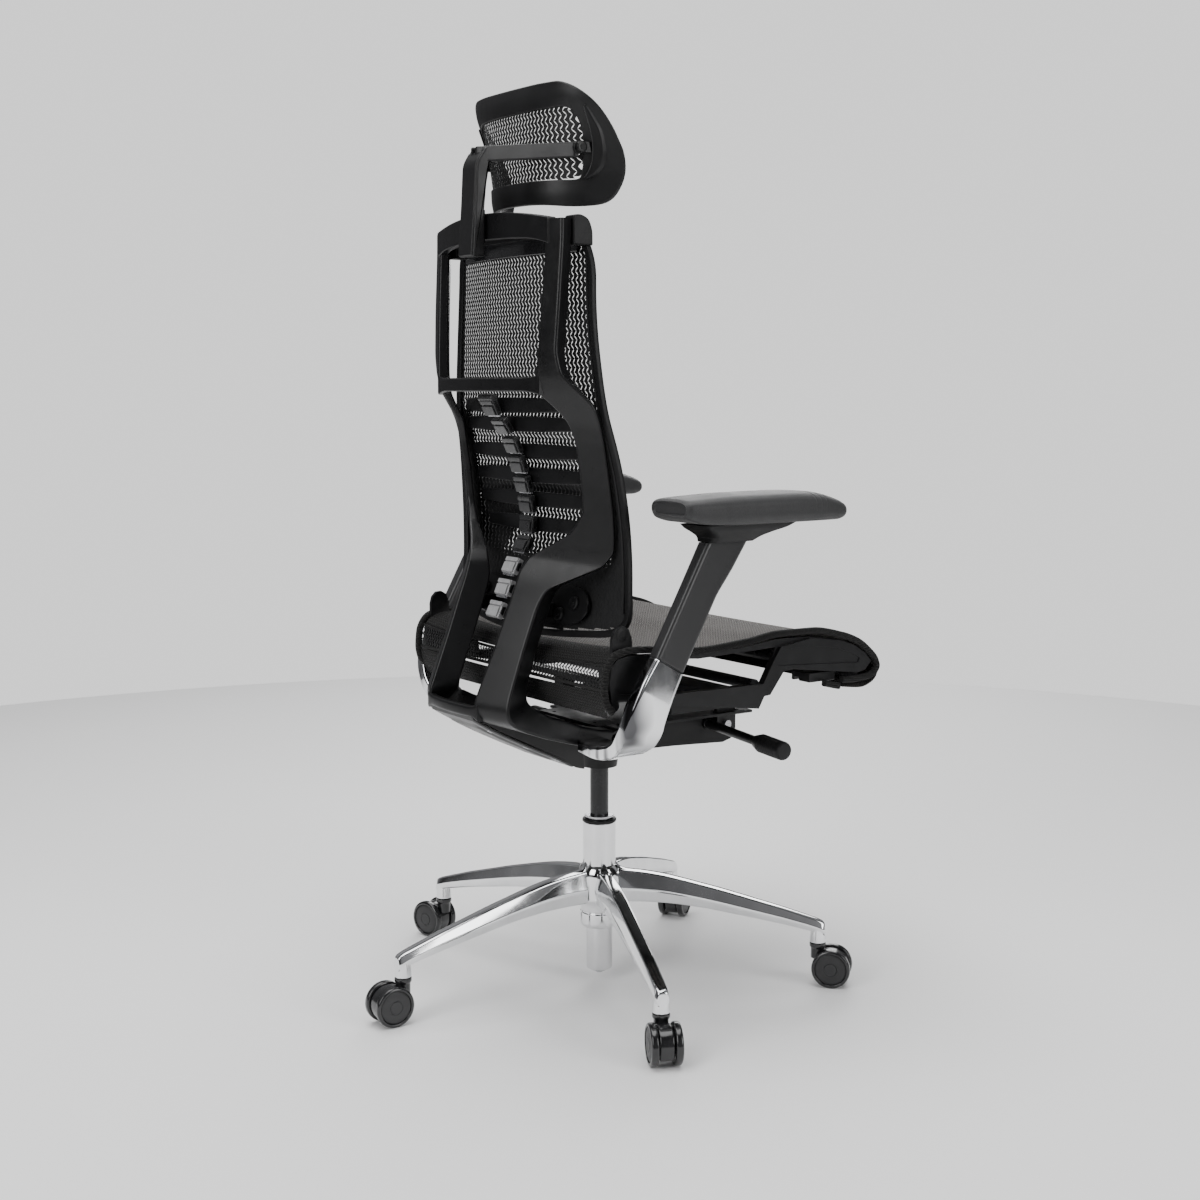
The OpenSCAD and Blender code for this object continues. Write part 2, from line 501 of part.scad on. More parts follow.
// ---------------------------------------------------------------- headrest
module headrest_guide() {
  // tee rail on the top cross bar
  color(black) {
    translate([-13, 202.1, 1108]) cube([26, 4.5, 46]);
    translate([-9, 206.5, 1108]) cube([18, 8, 46]);
  }
}
head_z = 1233.5; head_y = 119;
module headrest_post() {
  color(black) difference() {
    union() {
      side_plate(-20.5, 20.5) polygon([[207.5, 1089], [229, 1089], [223.5, 1161], [220.5, 1218], [205, 1241], [193, 1241], [193, 1219], [201, 1210], [207.5, 1150]]);
      both() skin([for (r = [[-4, 206, 16], [-15, 201, 10], [-60, 168.4, 8], [-100, 139.4, 8], [-118, 126.4, 8], [-124, 122, 8]])
        [[r[0], r[1] + r[2] / 2, 1219], [r[0], r[1] + r[2] / 2, 1241], [r[0], r[1] - r[2] / 2, 1241], [r[0], r[1] - r[2] / 2, 1219]]]);
      for (s = [-1, 1]) xbar(18, s * 123 - 3, s * 123 + 3, head_y, head_z);
    }
    translate([-13.4, 200, 1080]) cube([26.8, 7.1, 125]);
    translate([-9.4, 206.2, 1080]) cube([18.8, 8.7, 122]);
    xbar(8.04, -130, 130, head_y, head_z);
  }
}
module headrest_pins() { color(steel) both() xbar(8, -135, -118, head_y, head_z); }
// rear surface of the headrest: height of its middle line, wings curving forward
function head_mid(z) = look(z, [[1155, 149], [1222, 152.5], [1322, 155]]);
function head_at(x, z) = [x, head_mid(z) - (123 - 0.539 * (z - 1155)) * pow(abs(x) / 154.5, 3), z];
// outer and inner outline of the headrest frame down one side
head_out = [[0, 1322], [45, 1322], [90, 1322.5], [113, 1321], [134, 1311], [head_hw - 6.5, 1291], [head_hw, 1252], [head_hw - 2.5, 1216], [145, 1186], [131, 1162], [110, 1156.5], [60, 1160], [0, 1161.5]];
head_in = [[0, 1287], [45, 1287], [85, 1287.5], [106, 1288], [117, 1285], [123.5, 1274], [125.5, 1250], [121, 1222], [116, 1203], [111, 1193], [93, 1192.5], [50, 1193.4], [0, 1193.5]];
head_o2 = concat(head_out, [for (k = [11:-1:1]) [-head_out[k][0], head_out[k][1]]]);
head_i2 = concat(head_in, [for (k = [11:-1:1]) [-head_in[k][0], head_in[k][1]]]);
module headrest_frame() {
  color(black) difference() {
    skin([for (k = [0:len(head_o2) - 1]) let (a = head_o2[k], b = head_i2[k], o = head_at(a[0], a[1]), i = head_at(b[0], b[1]), t = pow(abs(a[0]) / head_hw, 2),
      n = [-sign(a[0]) * 5 * t, -8 + 3 * t, 0], m = (o + i) / 2)
      [o, m + [0, 2.5, 0], i, i + [0, -7, 0], m + [0, -6, 0], o + n]], ring = true);
    // relief round the pivot bosses
    for (s = [-1, 1]) xbar(21, s * 123 - 4, s * 123 + 4, head_y, head_z);
  }
}
module headrest_mesh() {
  lo = [[0, 1196], [93, 1195.5], [108, 1198], [113, 1207], [117, 1224], [118, 1236]];
  hi = [[0, 1284.5], [85, 1285], [104, 1285], [113, 1281], [117, 1268], [118, 1260]];
  xs = [118, 116, 110, 100, 80, 60, 40, 20];
  color([0.1, 0.1, 0.1]) skin([for (x = concat([for (x = xs) -x], [0], [for (k = [7:-1:0]) xs[k]])) let (a = look(abs(x), lo), b = look(abs(x), hi)) concat(
    [for (j = [0:4]) head_at(x, lerp(a, b, j / 4)) + [0, -2.5, 0]],
    [for (j = [4:-1:0]) head_at(x, lerp(a, b, j / 4)) + [0, -5.5, 0]])], strip = true);
}
// curved ribs on the wings and the ears that turn on the pins
rib_out = [[1192, 122], [1198, 128.6], [1211, 137.5], [1230, 143], [1256, 145.8], [1275, 143.5], [1288, 141]];
rib_in = [[1192, 119.5], [1204, 126.5], [1217, 131.5], [1243, 136.7], [1262, 138.3], [1288, 139]];
module headrest_brackets() {
  color(black) both() {
    skin([for (z = [1192, 1200, 1211, 1225, 1240, 1256, 1272, 1288]) let (a = -look(z, rib_in), b = -look(z, rib_out), p = head_at(a, z)[1], q = head_at(b, z)[1])
      [[a, p - 1, z], [b, q - 1, z], [b, q + 6, z], [a, p + 6, z]]]);
    difference() {
      union() {
        xbar(16, -132.5, -127, head_y, head_z);
        translate([-132.5, 101, 1226]) cube([5.5, 18, 15]);
      }
      xbar(8.1, -140, -100, head_y, head_z);
    }
  }
}

// ---------------------------------------------------------------- arms, right one first, mirrored for the left
al = [0, -sin(arm_lean), cos(arm_lean)];
aw = [0, cos(arm_lean), sin(arm_lean)];
arm_o = [-arm_x, 90, 537];
// the left arm stands a little higher
left_up = 5;
module arm_bracket() {
  s = [[[-117.6, 96, 400], [0, 1, 0], [0, 0, -1], 23, 9], [[-160, 104, 401], [0, 1, 0], [0, 0, -1], 24, 9.5], [[-205, 114, 407], [0, 1, 0], [-0.17, 0, -0.98], 25, 10],
       [[-245, 122, 419], [0, 1, 0], [-0.42, 0, -0.91], 27, 10.5], [[-273, 126, 440], [0, 0.98, 0.2], [-0.75, 0, -0.66], 29, 11], [[-286, 124, 466], [0, 0.92, 0.38], [-0.95, 0, -0.3], 30, 11],
       [[-arm_x, 113, 496], aw, [-1, 0, 0], 29, 11], [arm_o, aw, [-1, 0, 0], 26, 11]];
  skin([for (r = s) oct(r[0], r[1] / norm(r[1]), r[2] / norm(r[2]), r[3], r[4], 3)]);
}
module arm_brackets() { color(chrome) both() arm_bracket(); }
module arm_inner_posts() {
  color(steel) both() skin([for (t = [0.1, 110]) oct(arm_o + al * t, aw, [1, 0, 0], 17, 5.3, 1)]);
}
module arm_sleeve() {
  difference() {
    skin([for (r = [[0.6, 0, 26, 11], [60, 0, 26, 11], [110, 0, 26, 11], [150, -2.4, 28.4, 11.3], [187, -5, 31, 12], [214, -6.5, 32.5, 12]]) oct(arm_o + al * r[0] + aw * r[1], aw, [1, 0, 0], r[2], r[3], 4)]);
    skin([for (t = [-10, 116]) oct(arm_o + al * t, aw, [1, 0, 0], 17.4, 5.7, 1)]);
    translate([-400, -200, 699.4]) cube([200, 400, 60]);
    // socket of the pad's pivot
    translate([-arm_x, pivot_y, 686]) cylinder(d = 16.2, h = 20);
  }
}
module arm_sleeve_right() { color(grey) arm_sleeve(); }
module arm_sleeve_left() { color(grey) mirror([1, 0, 0]) translate(al * left_up) arm_sleeve(); }
pivot_y = -5;
module pad_carrier() {
  translate([-arm_x, pivot_y, 688]) cylinder(d = 16, h = 14);
  skin([for (r = [[699.8, 37, 20, -10], [706, 42, 24, -16], [718, 70, 32, -29], [724, 80, 34, -33]]) oct([-arm_x, r[3], r[0]], [0, 1, 0], [1, 0, 0], r[1], r[2], 8)]);
}
module pad_carrier_right() { color(black) pad_carrier(); }
module pad_carrier_left() { color(black) mirror([1, 0, 0]) translate(al * left_up) pad_carrier(); }
pad_y1 = 90;
module arm_pad(fwd) {
  // rows along the pad: distance from the back end, half width, underside, top
  tab = [[0, 0.38, 740, 757], [8, 0.46, 734, 761], [36, 0.49, 727, 763.5], [100, 0.5, 724.4, 766], [180, 0.5, 724.4, 766.5], [235, 0.485, 724.4, 764], [268, 0.44, 724.4, 756], [pad_l - 6, 0.39, 727, 749], [pad_l, 0.34, 730, 743]];
  translate([-arm_x - 2, pad_y1 - fwd, 0]) skin([for (r = tab) let (w = r[1] * pad_w)
    [[-w * 0.9, -r[0], r[2]], [w * 0.9, -r[0], r[2]], [w, -r[0], lerp(r[2], r[3], 0.3)], [w, -r[0], lerp(r[2], r[3], 0.72)], [w * 0.8, -r[0], lerp(r[2], r[3], 0.94)], [w * 0.4, -r[0], r[3]],
     [-w * 0.4, -r[0], r[3]], [-w * 0.8, -r[0], lerp(r[2], r[3], 0.94)], [-w, -r[0], lerp(r[2], r[3], 0.72)], [-w, -r[0], lerp(r[2], r[3], 0.3)]]]);
}
module arm_pad_right() { color(soft) arm_pad(0); }
module arm_pad_left() { color(soft) mirror([1, 0, 0]) translate(al * left_up) arm_pad(pad_left_fwd); }

base_star();
stem_sleeves();
column_tube();
guide_bush();
column_ring();
thrust_bearing();
retaining_clip();
piston_rod();
gas_cylinder();
castor_hood(0);  // castor_1_hood
castor_hood(1);  // castor_2_hood
castor_hood(2);  // castor_3_hood
castor_hood(3);  // castor_4_hood
castor_hood(4);  // castor_5_hood
castor_pins(0);  // castor_1_pins
castor_pins(1);  // castor_2_pins
castor_pins(2);  // castor_3_pins
castor_pins(3);  // castor_4_pins
castor_pins(4);  // castor_5_pins
castor_wheels(0);  // castor_1_wheels
castor_wheels(1);  // castor_2_wheels
castor_wheels(2);  // castor_3_wheels
castor_wheels(3);  // castor_4_wheels
castor_wheels(4);  // castor_5_wheels
mechanism_housing();
top_plate();
pivot_shafts();
tilt_spring();
lift_lever();
tension_grip();
tilt_lever();
seat_carrier();
seat_side_frames();
seat_cross_tubes();
seat_rim();
seat_mesh();
depth_lever();
front_clip();
back_frame();
back_cover();
mesh_rim();
back_mesh();
spine_links();
spine_ribs();
pelvic_support();
pelvic_knobs();
headrest_guide();
headrest_post();
headrest_pins();
headrest_frame();
headrest_mesh();
headrest_brackets();
arm_brackets();
arm_inner_posts();
arm_sleeve_right();
arm_sleeve_left();
pad_carrier_right();
pad_carrier_left();
arm_pad_right();
arm_pad_left();
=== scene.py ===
import json
import math

import bmesh
import bpy
import numpy as np
from mathutils import Matrix, Vector

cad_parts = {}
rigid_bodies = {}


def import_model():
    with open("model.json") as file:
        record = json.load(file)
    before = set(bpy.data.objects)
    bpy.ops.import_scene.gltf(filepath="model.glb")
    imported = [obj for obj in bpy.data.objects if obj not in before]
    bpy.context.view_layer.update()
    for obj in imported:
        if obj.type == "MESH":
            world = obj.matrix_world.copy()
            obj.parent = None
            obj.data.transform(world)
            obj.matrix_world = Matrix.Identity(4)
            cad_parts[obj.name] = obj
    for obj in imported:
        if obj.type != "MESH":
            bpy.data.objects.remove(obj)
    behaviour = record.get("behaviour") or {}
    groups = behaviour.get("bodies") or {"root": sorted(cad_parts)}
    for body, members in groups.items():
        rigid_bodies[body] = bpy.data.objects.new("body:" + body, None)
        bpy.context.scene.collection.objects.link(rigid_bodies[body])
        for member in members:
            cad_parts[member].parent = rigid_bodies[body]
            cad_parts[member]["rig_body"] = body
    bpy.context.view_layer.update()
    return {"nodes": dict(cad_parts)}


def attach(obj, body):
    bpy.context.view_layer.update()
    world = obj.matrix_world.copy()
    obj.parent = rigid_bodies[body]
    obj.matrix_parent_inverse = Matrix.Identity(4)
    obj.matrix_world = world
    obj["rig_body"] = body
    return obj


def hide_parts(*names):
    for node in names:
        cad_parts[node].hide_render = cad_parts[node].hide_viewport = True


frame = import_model()
scene = bpy.context.scene
rng = np.random.default_rng(7)

# ------------------------------------------------------------------ camera
# Same station point as the picture's: behind the chair on the sitter's right, a little above the seat back.
cam_data = bpy.data.cameras.new("view_camera")
cam = bpy.data.objects.new("view_camera", cam_data)
scene.collection.objects.link(cam)
cam_data.lens, cam_data.sensor_width, cam_data.shift_x = 52.33, 36, 0.0011
cam_data.clip_start, cam_data.clip_end = 0.05, 60
cam.location = (-2.149, 1.477, 0.908)
pitch = math.radians(6.95)
fwd = Vector((0.8243 * math.cos(pitch), -0.5661 * math.cos(pitch), -math.sin(pitch)))
cam.rotation_mode = "QUATERNION"
cam.rotation_quaternion = fwd.to_track_quat("-Z", "Y")
scene.camera = cam


# ------------------------------------------------------------------ node helpers
class Nodes:
    """A small wrapper that makes and links shader nodes."""

    def __init__(self, name):
        self.m = bpy.data.materials.new(name)
        self.m.use_nodes = True
        self.t = self.m.node_tree
        self.t.nodes.clear()
        self.out = self.t.nodes.new("ShaderNodeOutputMaterial")
        self.bsdf = self.t.nodes.new("ShaderNodeBsdfPrincipled")
        self.t.links.new(self.bsdf.outputs[0], self.out.inputs[0])
        self.obj = self.t.nodes.new("ShaderNodeTexCoord").outputs["Object"]

    def put(self, sock, v):
        if isinstance(v, bpy.types.NodeSocket):
            self.t.links.new(v, sock)
        elif isinstance(v, (tuple, list)):
            sock.default_value = (*v, 1) if len(v) == 3 and len(sock.default_value) == 4 else v
        else:
            sock.default_value = v

    def math(self, op, a, b=0.0, c=0.0):
        n = self.t.nodes.new("ShaderNodeMath")
        n.operation = op
        for s, v in zip(n.inputs, (a, b, c)):
            self.put(s, v)
        return n.outputs[0]

    def noise(self, scale, detail=3.0, rough=0.5, vec=None):
        n = self.t.nodes.new("ShaderNodeTexNoise")
        n.inputs["Scale"].default_value = scale
        n.inputs["Detail"].default_value = detail
        n.inputs["Roughness"].default_value = rough
        self.t.links.new(vec or self.obj, n.inputs["Vector"])
        return n.outputs["Fac"]

    def voronoi(self, scale, vec=None):
        n = self.t.nodes.new("ShaderNodeTexVoronoi")
        n.inputs["Scale"].default_value = scale
        self.t.links.new(vec or self.obj, n.inputs["Vector"])
        return n.outputs["Distance"]

    def ramp(self, fac, lo, hi, a=0.0, b=1.0):
        """lo to hi as fac goes from a to b."""
        n = self.t.nodes.new("ShaderNodeMapRange")
        for k, v in (("From Min", a), ("From Max", b), ("To Min", lo), ("To Max", hi)):
            n.inputs[k].default_value = v
        self.put(n.inputs["Value"], fac)
        return n.outputs["Result"]

    def mix(self, fac, a, b):
        n = self.t.nodes.new("ShaderNodeMix")
        n.data_type = "RGBA"
        self.put(n.inputs[0], fac)
        self.put(n.inputs[6], a)
        self.put(n.inputs[7], b)
        return n.outputs[2]

    def bump(self, height, strength, distance, normal=None):
        n = self.t.nodes.new("ShaderNodeBump")
        n.inputs["Strength"].default_value = strength
        n.inputs["Distance"].default_value = distance
        self.put(n.inputs["Height"], height)
        if normal is not None:
            self.t.links.new(normal, n.inputs["Normal"])
        return n.outputs[0]

    def xyz(self, vec=None):
        n = self.t.nodes.new("ShaderNodeSeparateXYZ")
        self.t.links.new(vec or self.obj, n.inputs[0])
        return n.outputs

    def uv(self):
        n = self.t.nodes.new("ShaderNodeUVMap")
        n.uv_map = "flat"
        return n.outputs[0]

    def set(self, **k):
        for name, v in k.items():
            self.put(self.bsdf.inputs[name.replace("_", " ")], v)
        return self.m


def plastic(name, base, rough, grain=2600.0, bump=0.25, spec=0.5, coat=0.0, var=0.25, sheen=0.0, rub=1.0):
    """Moulded plastic: fine spark-eroded grain, faint flow marks, and rubbed patches that shine a little more."""
    n = Nodes(name)
    fine = n.noise(grain, 2, 0.6)
    flow = n.noise(7, 4, 0.55)
    wear = n.noise(38, 5, 0.7)
    dark = tuple(c * (1 - var) for c in base)
    light = tuple(min(1, c * (1 + var)) for c in base)
    col = n.mix(n.ramp(flow, 0, 1, 0.3, 0.7), dark, light)
    col = n.mix(n.ramp(wear, 0, 0.5 * rub, 0.62, 0.8), col, tuple(min(1, c * 1.7 + 0.004) for c in base))
    r = n.math("ADD", n.ramp(wear, rough - 0.06 * rub, rough + 0.07 * rub, 0.3, 0.7), n.ramp(fine, -0.03 * rub, 0.03 * rub, 0.3, 0.7))
    m = n.set(Base_Color=col, Roughness=r, Specular_IOR_Level=spec, Coat_Weight=coat)
    if coat:
        n.bsdf.inputs["Coat Roughness"].default_value = 0.08
    if sheen:
        n.bsdf.inputs["Sheen Weight"].default_value = sheen
        n.bsdf.inputs["Sheen Roughness"].default_value = 0.4
    n.t.links.new(n.bump(fine, bump, 0.00012), n.bsdf.inputs["Normal"])
    return m


def metal(name, base, rough, brushed=None, wave=0.0):
    """Polished or ground metal: hairline scratches, slight casting ripple, and fingerprints in the roughness."""
    n = Nodes(name)
    smear = n.noise(24, 5, 0.65)
    ripple = n.noise(16, 2, 0.5)
    v = n.obj
    if brushed:
        mp = n.t.nodes.new("ShaderNodeMapping")
        mp.inputs["Scale"].default_value = brushed
        n.t.links.new(n.obj, mp.inputs[0])
        v = mp.outputs[0]
    hair = n.noise(900, 3, 0.7, v)
    col = n.mix(n.ramp(smear, 0, 1, 0.35, 0.7), tuple(c * 0.9 for c in base), base)
    r = n.math("ADD", n.ramp(smear, rough * 0.7, rough * 1.5, 0.35, 0.72), n.ramp(hair, -0.02, 0.02, 0.3, 0.7))
    m = n.set(Base_Color=col, Metallic=1.0, Roughness=r)
    b = n.bump(hair, 0.12, 0.00004)
    if wave:
        b = n.bump(ripple, wave, 0.0012, b)
    n.t.links.new(b, n.bsdf.inputs["Normal"])
    return m


M = {}
M["black"] = plastic("moulded_black", (0.0065, 0.0065, 0.0070), 0.33, 2400, 0.2, 0.34)
M["black_dark"] = plastic("moulded_black_coarse", (0.005, 0.005, 0.0054), 0.46, 1800, 0.35, 0.28)
M["black_gloss"] = plastic("castor_gloss", (0.010, 0.010, 0.011), 0.2, 900, 0.05, 0.5, coat=0.35)
M["black_disc"] = plastic("castor_disc", (0.018, 0.018, 0.019), 0.42, 1800, 0.3, 0.5)
M["grey"] = plastic("moulded_dark_grey", (0.0095, 0.0095, 0.0100), 0.38, 2200, 0.2, 0.36)
M["sleeve"] = plastic("arm_sleeve_satin", (0.024, 0.024, 0.025), 0.30, 2600, 0.03, 0.55, var=0.06, rub=0.12)
M["link"] = plastic("spine_link_grey", (0.022, 0.022, 0.023), 0.30, 2200, 0.2, 0.6)
M["tube"] = plastic("coated_tube", (0.010, 0.010, 0.011), 0.3, 3000, 0.15, 0.4)
M["chrome"] = metal("polished_casting", (0.86, 0.865, 0.875), 0.085, wave=0.10)


def arm_casting():
    """Buffed casting: long soft streaks of light and dark along the arm, painted into the base colour as a painted
    reflection, with hairline scratches.
    """
    n = Nodes("polished_arm_casting_painted_reflections")
    mp = n.t.nodes.new("ShaderNodeMapping")
    mp.inputs["Scale"].default_value = (30, 12, 3.4)
    mp.inputs["Rotation"].default_value = (0.45, 0, 0)
    n.t.links.new(n.obj, mp.inputs[0])
    painted_reflection_streak = n.noise(1.0, 1.5, 0.4, mp.outputs[0])
    smear = n.noise(24, 5, 0.65)
    hair = n.noise(900, 3, 0.7)
    # painted reflection: the streak noise sets the base colour between near black and near white
    col = n.mix(n.ramp(painted_reflection_streak, 0, 1, 0.42, 0.56), (0.10, 0.10, 0.105), (0.88, 0.885, 0.90))
    m = n.set(Base_Color=col, Metallic=1.0, Roughness=n.ramp(smear, 0.06, 0.13, 0.35, 0.72))
    n.t.links.new(n.bump(painted_reflection_streak, 0.35, 0.004, n.bump(hair, 0.1, 0.00004)), n.bsdf.inputs["Normal"])
    return m


# arm bracket metal whose streaks of light and dark are painted reflections in its base colour
M["chrome_arm_painted_reflections"] = arm_casting()
# painted highlight: a much lighter copy of the spine link plastic, standing in for light falling on the upward-facing
# rear faces of the three lowest links
M["link_painted_highlight"] = plastic("spine_link_painted_highlight", (0.30, 0.30, 0.305), 0.26, 2200, 0.05, 0.6, var=0.15)
M["column"] = metal("plated_column", (0.80, 0.80, 0.81), 0.13, brushed=(3, 3, 0.05))
M["steel"] = metal("ground_steel", (0.56, 0.56, 0.58), 0.28, brushed=(1, 1, 0.1))


def pad_skin():
    """Soft integral-skin foam: fine leather-like grain, dull sheen, slightly polished where the forearm rests."""
    n = Nodes("arm_pad_skin")
    cells = n.voronoi(620)
    fine = n.noise(2200, 3, 0.6)
    rub = n.noise(14, 4, 0.6)
    col = n.mix(n.ramp(cells, 0, 1, 0.1, 0.75), (0.011, 0.011, 0.0115), (0.020, 0.020, 0.021))
    col = n.mix(n.ramp(rub, 0, 0.45, 0.5, 0.75), col, (0.026, 0.026, 0.027))
    m = n.set(Base_Color=col, Roughness=n.ramp(rub, 0.62, 0.5, 0.35, 0.7), Specular_IOR_Level=0.45, Sheen_Weight=0.12)
    b = n.bump(fine, 0.15, 0.00006)
    n.t.links.new(n.bump(cells, 0.35, 0.00022, b), n.bsdf.inputs["Normal"])
    return m


def strand(name, base, lift):
    """A knitted monofilament strand: highlights of its twist painted into the colour, and lighter fibres along it."""
    n = Nodes(name)
    twist = n.noise(1500, 3, 0.7)
    patch = n.noise(22, 3, 0.5)
    # painted highlight: fine noise lifts the strand colour up to one and a half times the base
    col = n.mix(n.ramp(twist, 0, 1, 0.35, 0.68), tuple(c * 0.55 for c in base), tuple(c * lift for c in base))
    col = n.mix(n.ramp(patch, 0, 0.35, 0.4, 0.7), col, tuple(c * 1.35 for c in base))
    m = n.set(Base_Color=col, Roughness=n.ramp(twist, 0.62, 0.42, 0.3, 0.7), Specular_IOR_Level=0.3, Sheen_Weight=0.04)
    n.t.links.new(n.bump(twist, 0.4, 0.0002), n.bsdf.inputs["Normal"])
    return m


def weave(name, dark, light, pitch_u, pitch_v, amp, depth, sheen=0.25, spec=0.35):
    """Dense knitted mesh laid by the piece's own flat lengths: rows that run in a zigzag, with small gaps between the stitches."""
    n = Nodes(name)
    u, v, _ = n.xyz(n.uv())
    zig = n.math("PINGPONG", v, pitch_v)
    phase = n.math("ADD", n.math("DIVIDE", u, pitch_u), n.math("MULTIPLY", zig, amp / pitch_v))
    rib = n.math("SINE", n.math("MULTIPLY", phase, 2 * math.pi))
    cross = n.math("SINE", n.math("MULTIPLY", n.math("DIVIDE", v, pitch_v), 2 * math.pi))
    h = n.math("ADD", n.math("MULTIPLY", rib, 0.62), n.math("MULTIPLY", cross, 0.38))
    fibre = n.noise(1300, 3, 0.6)
    big = n.noise(11, 3, 0.5)
    hf = n.math("ADD", h, n.ramp(fibre, -0.35, 0.35, 0.3, 0.7))
    col = n.mix(n.ramp(hf, 0, 1, -0.75, 0.85), dark, light)
    col = n.mix(n.ramp(big, 0, 0.3, 0.35, 0.7), col, tuple(c * 0.7 for c in light))
    m = n.set(Base_Color=col, Roughness=n.ramp(hf, 0.9, 0.6, -1, 1), Specular_IOR_Level=spec, Sheen_Weight=sheen)
    n.t.links.new(n.bump(hf, 0.9, depth), n.bsdf.inputs["Normal"])
    return m


M["pad"] = pad_skin()
M["strand"] = strand("mesh_strand_black", (0.008, 0.008, 0.0084), 1.5)
M["seat"] = weave("seat_weave", (0.008, 0.0075, 0.007), (0.150, 0.137, 0.125), 0.0062, 0.0048, 1.3, 0.0012, 0.1, 0.3)
M["seat_edge"] = weave("seat_edge_weave", (0.004, 0.004, 0.004), (0.015, 0.0145, 0.014), 0.0058, 0.0046, 1.2, 0.0009, 0.03, 0.22)


# ------------------------------------------------------------------ mesh helpers, in millimetres
def arr(*rows):
    return np.array(rows, float)


def unit(v):
    v = np.asarray(v, float)
    return v / max(np.linalg.norm(v), 1e-12)


def pchip(x, y, xi):
    """Shape-keeping cubic through the points (x, y), for one or more columns."""
    x, y, xi = np.asarray(x, float), np.asarray(y, float), np.asarray(xi, float)
    if y.ndim == 1:
        return pchip(x, y[:, None], xi)[:, 0]
    h = np.diff(x)[:, None]
    d = np.diff(y, axis=0) / h
    m = np.zeros_like(y)
    m[0], m[-1] = d[0], d[-1]
    if len(x) > 2:
        w1, w2 = 2 * h[1:] + h[:-1], h[1:] + 2 * h[:-1]
        same = d[:-1] * d[1:] > 0
        with np.errstate(divide="ignore", invalid="ignore"):
            hm = (w1 + w2) / (w1 / d[:-1] + w2 / d[1:])
        m[1:-1] = np.where(same, hm, 0)
    k = np.clip(np.searchsorted(x, xi) - 1, 0, len(x) - 2)
    t = ((xi - x[k]) / h[k, 0])[:, None]
    hh = h[k]
    return ((1 + 2 * t) * (1 - t) ** 2) * y[k] + t * (1 - t) ** 2 * hh * m[k] + t * t * (3 - 2 * t) * y[k + 1] + t * t * (t - 1) * hh * m[k + 1]


def dense(rows, n, cols=3):
    """n rows along a table of stations, spaced by distance in its first columns."""
    rows = np.array(rows, float)
    s = np.r_[0, np.cumsum(np.linalg.norm(np.diff(rows[:, :cols], axis=0), axis=1))]
    return pchip(s, rows, np.linspace(0, s[-1], n))


def smooth_closed(p, n, rounds=0):
    """Closed Catmull-Rom through points p, n samples."""
    p = np.array(p, float)
    k = len(p)
    d = np.linalg.norm(np.roll(p, -1, 0) - p, axis=1) ** 0.5
    s = np.r_[0, np.cumsum(d)]
    out = []
    for t in np.linspace(0, s[-1], n, endpoint=False):
        i = int(np.clip(np.searchsorted(s, t, side="right") - 1, 0, k - 1))
        p0, p1, p2, p3 = p[i - 1], p[i], p[(i + 1) % k], p[(i + 2) % k]
        t0, t1 = -d[i - 1], 0.0
        t2, t3 = d[i], d[i] + d[(i + 1) % k]
        x = t - s[i]
        a1 = (t1 - x) / (t1 - t0) * p0 + (x - t0) / (t1 - t0) * p1
        a2 = (t2 - x) / (t2 - t1) * p1 + (x - t1) / (t2 - t1) * p2
        a3 = (t3 - x) / (t3 - t2) * p2 + (x - t2) / (t3 - t2) * p3
        b1 = (t2 - x) / (t2 - t0) * a1 + (x - t0) / (t2 - t0) * a2
        b2 = (t3 - x) / (t3 - t1) * a2 + (x - t1) / (t3 - t1) * a3
        out.append((t2 - x) / (t2 - t1) * b1 + (x - t1) / (t2 - t1) * b2)
    out = np.array(out)
    for _ in range(rounds):
        out = 0.5 * out + 0.25 * (np.roll(out, 1, 0) + np.roll(out, -1, 0))
    return out


def round_poly(P, r, seg=3):
    """Closed outline with its corners rounded; r is one radius or one for each corner."""
    P = [np.asarray(p, float) for p in P]
    n = len(P)
    rs = [r] * n if np.isscalar(r) else list(r)
    out = []
    for i in range(n):
        a, b, c = P[i - 1], P[i], P[(i + 1) % n]
        la, lc = np.linalg.norm(a - b), np.linalg.norm(c - b)
        k = min(rs[i], 0.46 * la, 0.46 * lc)
        p, q = b + (a - b) / max(la, 1e-9) * k, b + (c - b) / max(lc, 1e-9) * k
        for t in np.linspace(0, 1, seg + 1):
            out.append((1 - t) ** 2 * p + 2 * t * (1 - t) * b + t * t * q)
    return np.array(out)


def ends(rings, r, a=True, b=True):
    """Rounds the two ends of a loft."""
    rings = [np.array(x, float) for x in rings]

    def cap(ring, other):
        c = ring.mean(0)
        t = unit(c - other.mean(0))
        res = []
        for ang in (35, 65, 90):
            s, k = math.sin(math.radians(ang)), 1 - math.cos(math.radians(ang))
            v = c - ring
            L = np.linalg.norm(v, axis=1, keepdims=True)
            res.append(ring + v / np.maximum(L, 1e-9) * np.minimum(r * k, 0.9 * L) + t * r * s)
        return res

    def shorten(ring, other):
        t = unit(ring.mean(0) - other.mean(0))
        return ring - t * r

    if a:
        first = shorten(rings[0], rings[1])
        rings = list(reversed(cap(first, rings[1]))) + [first] + rings[1:]
    if b:
        last = shorten(rings[-1], rings[-2])
        rings = rings[:-1] + [last] + cap(last, rings[-2])
    return rings


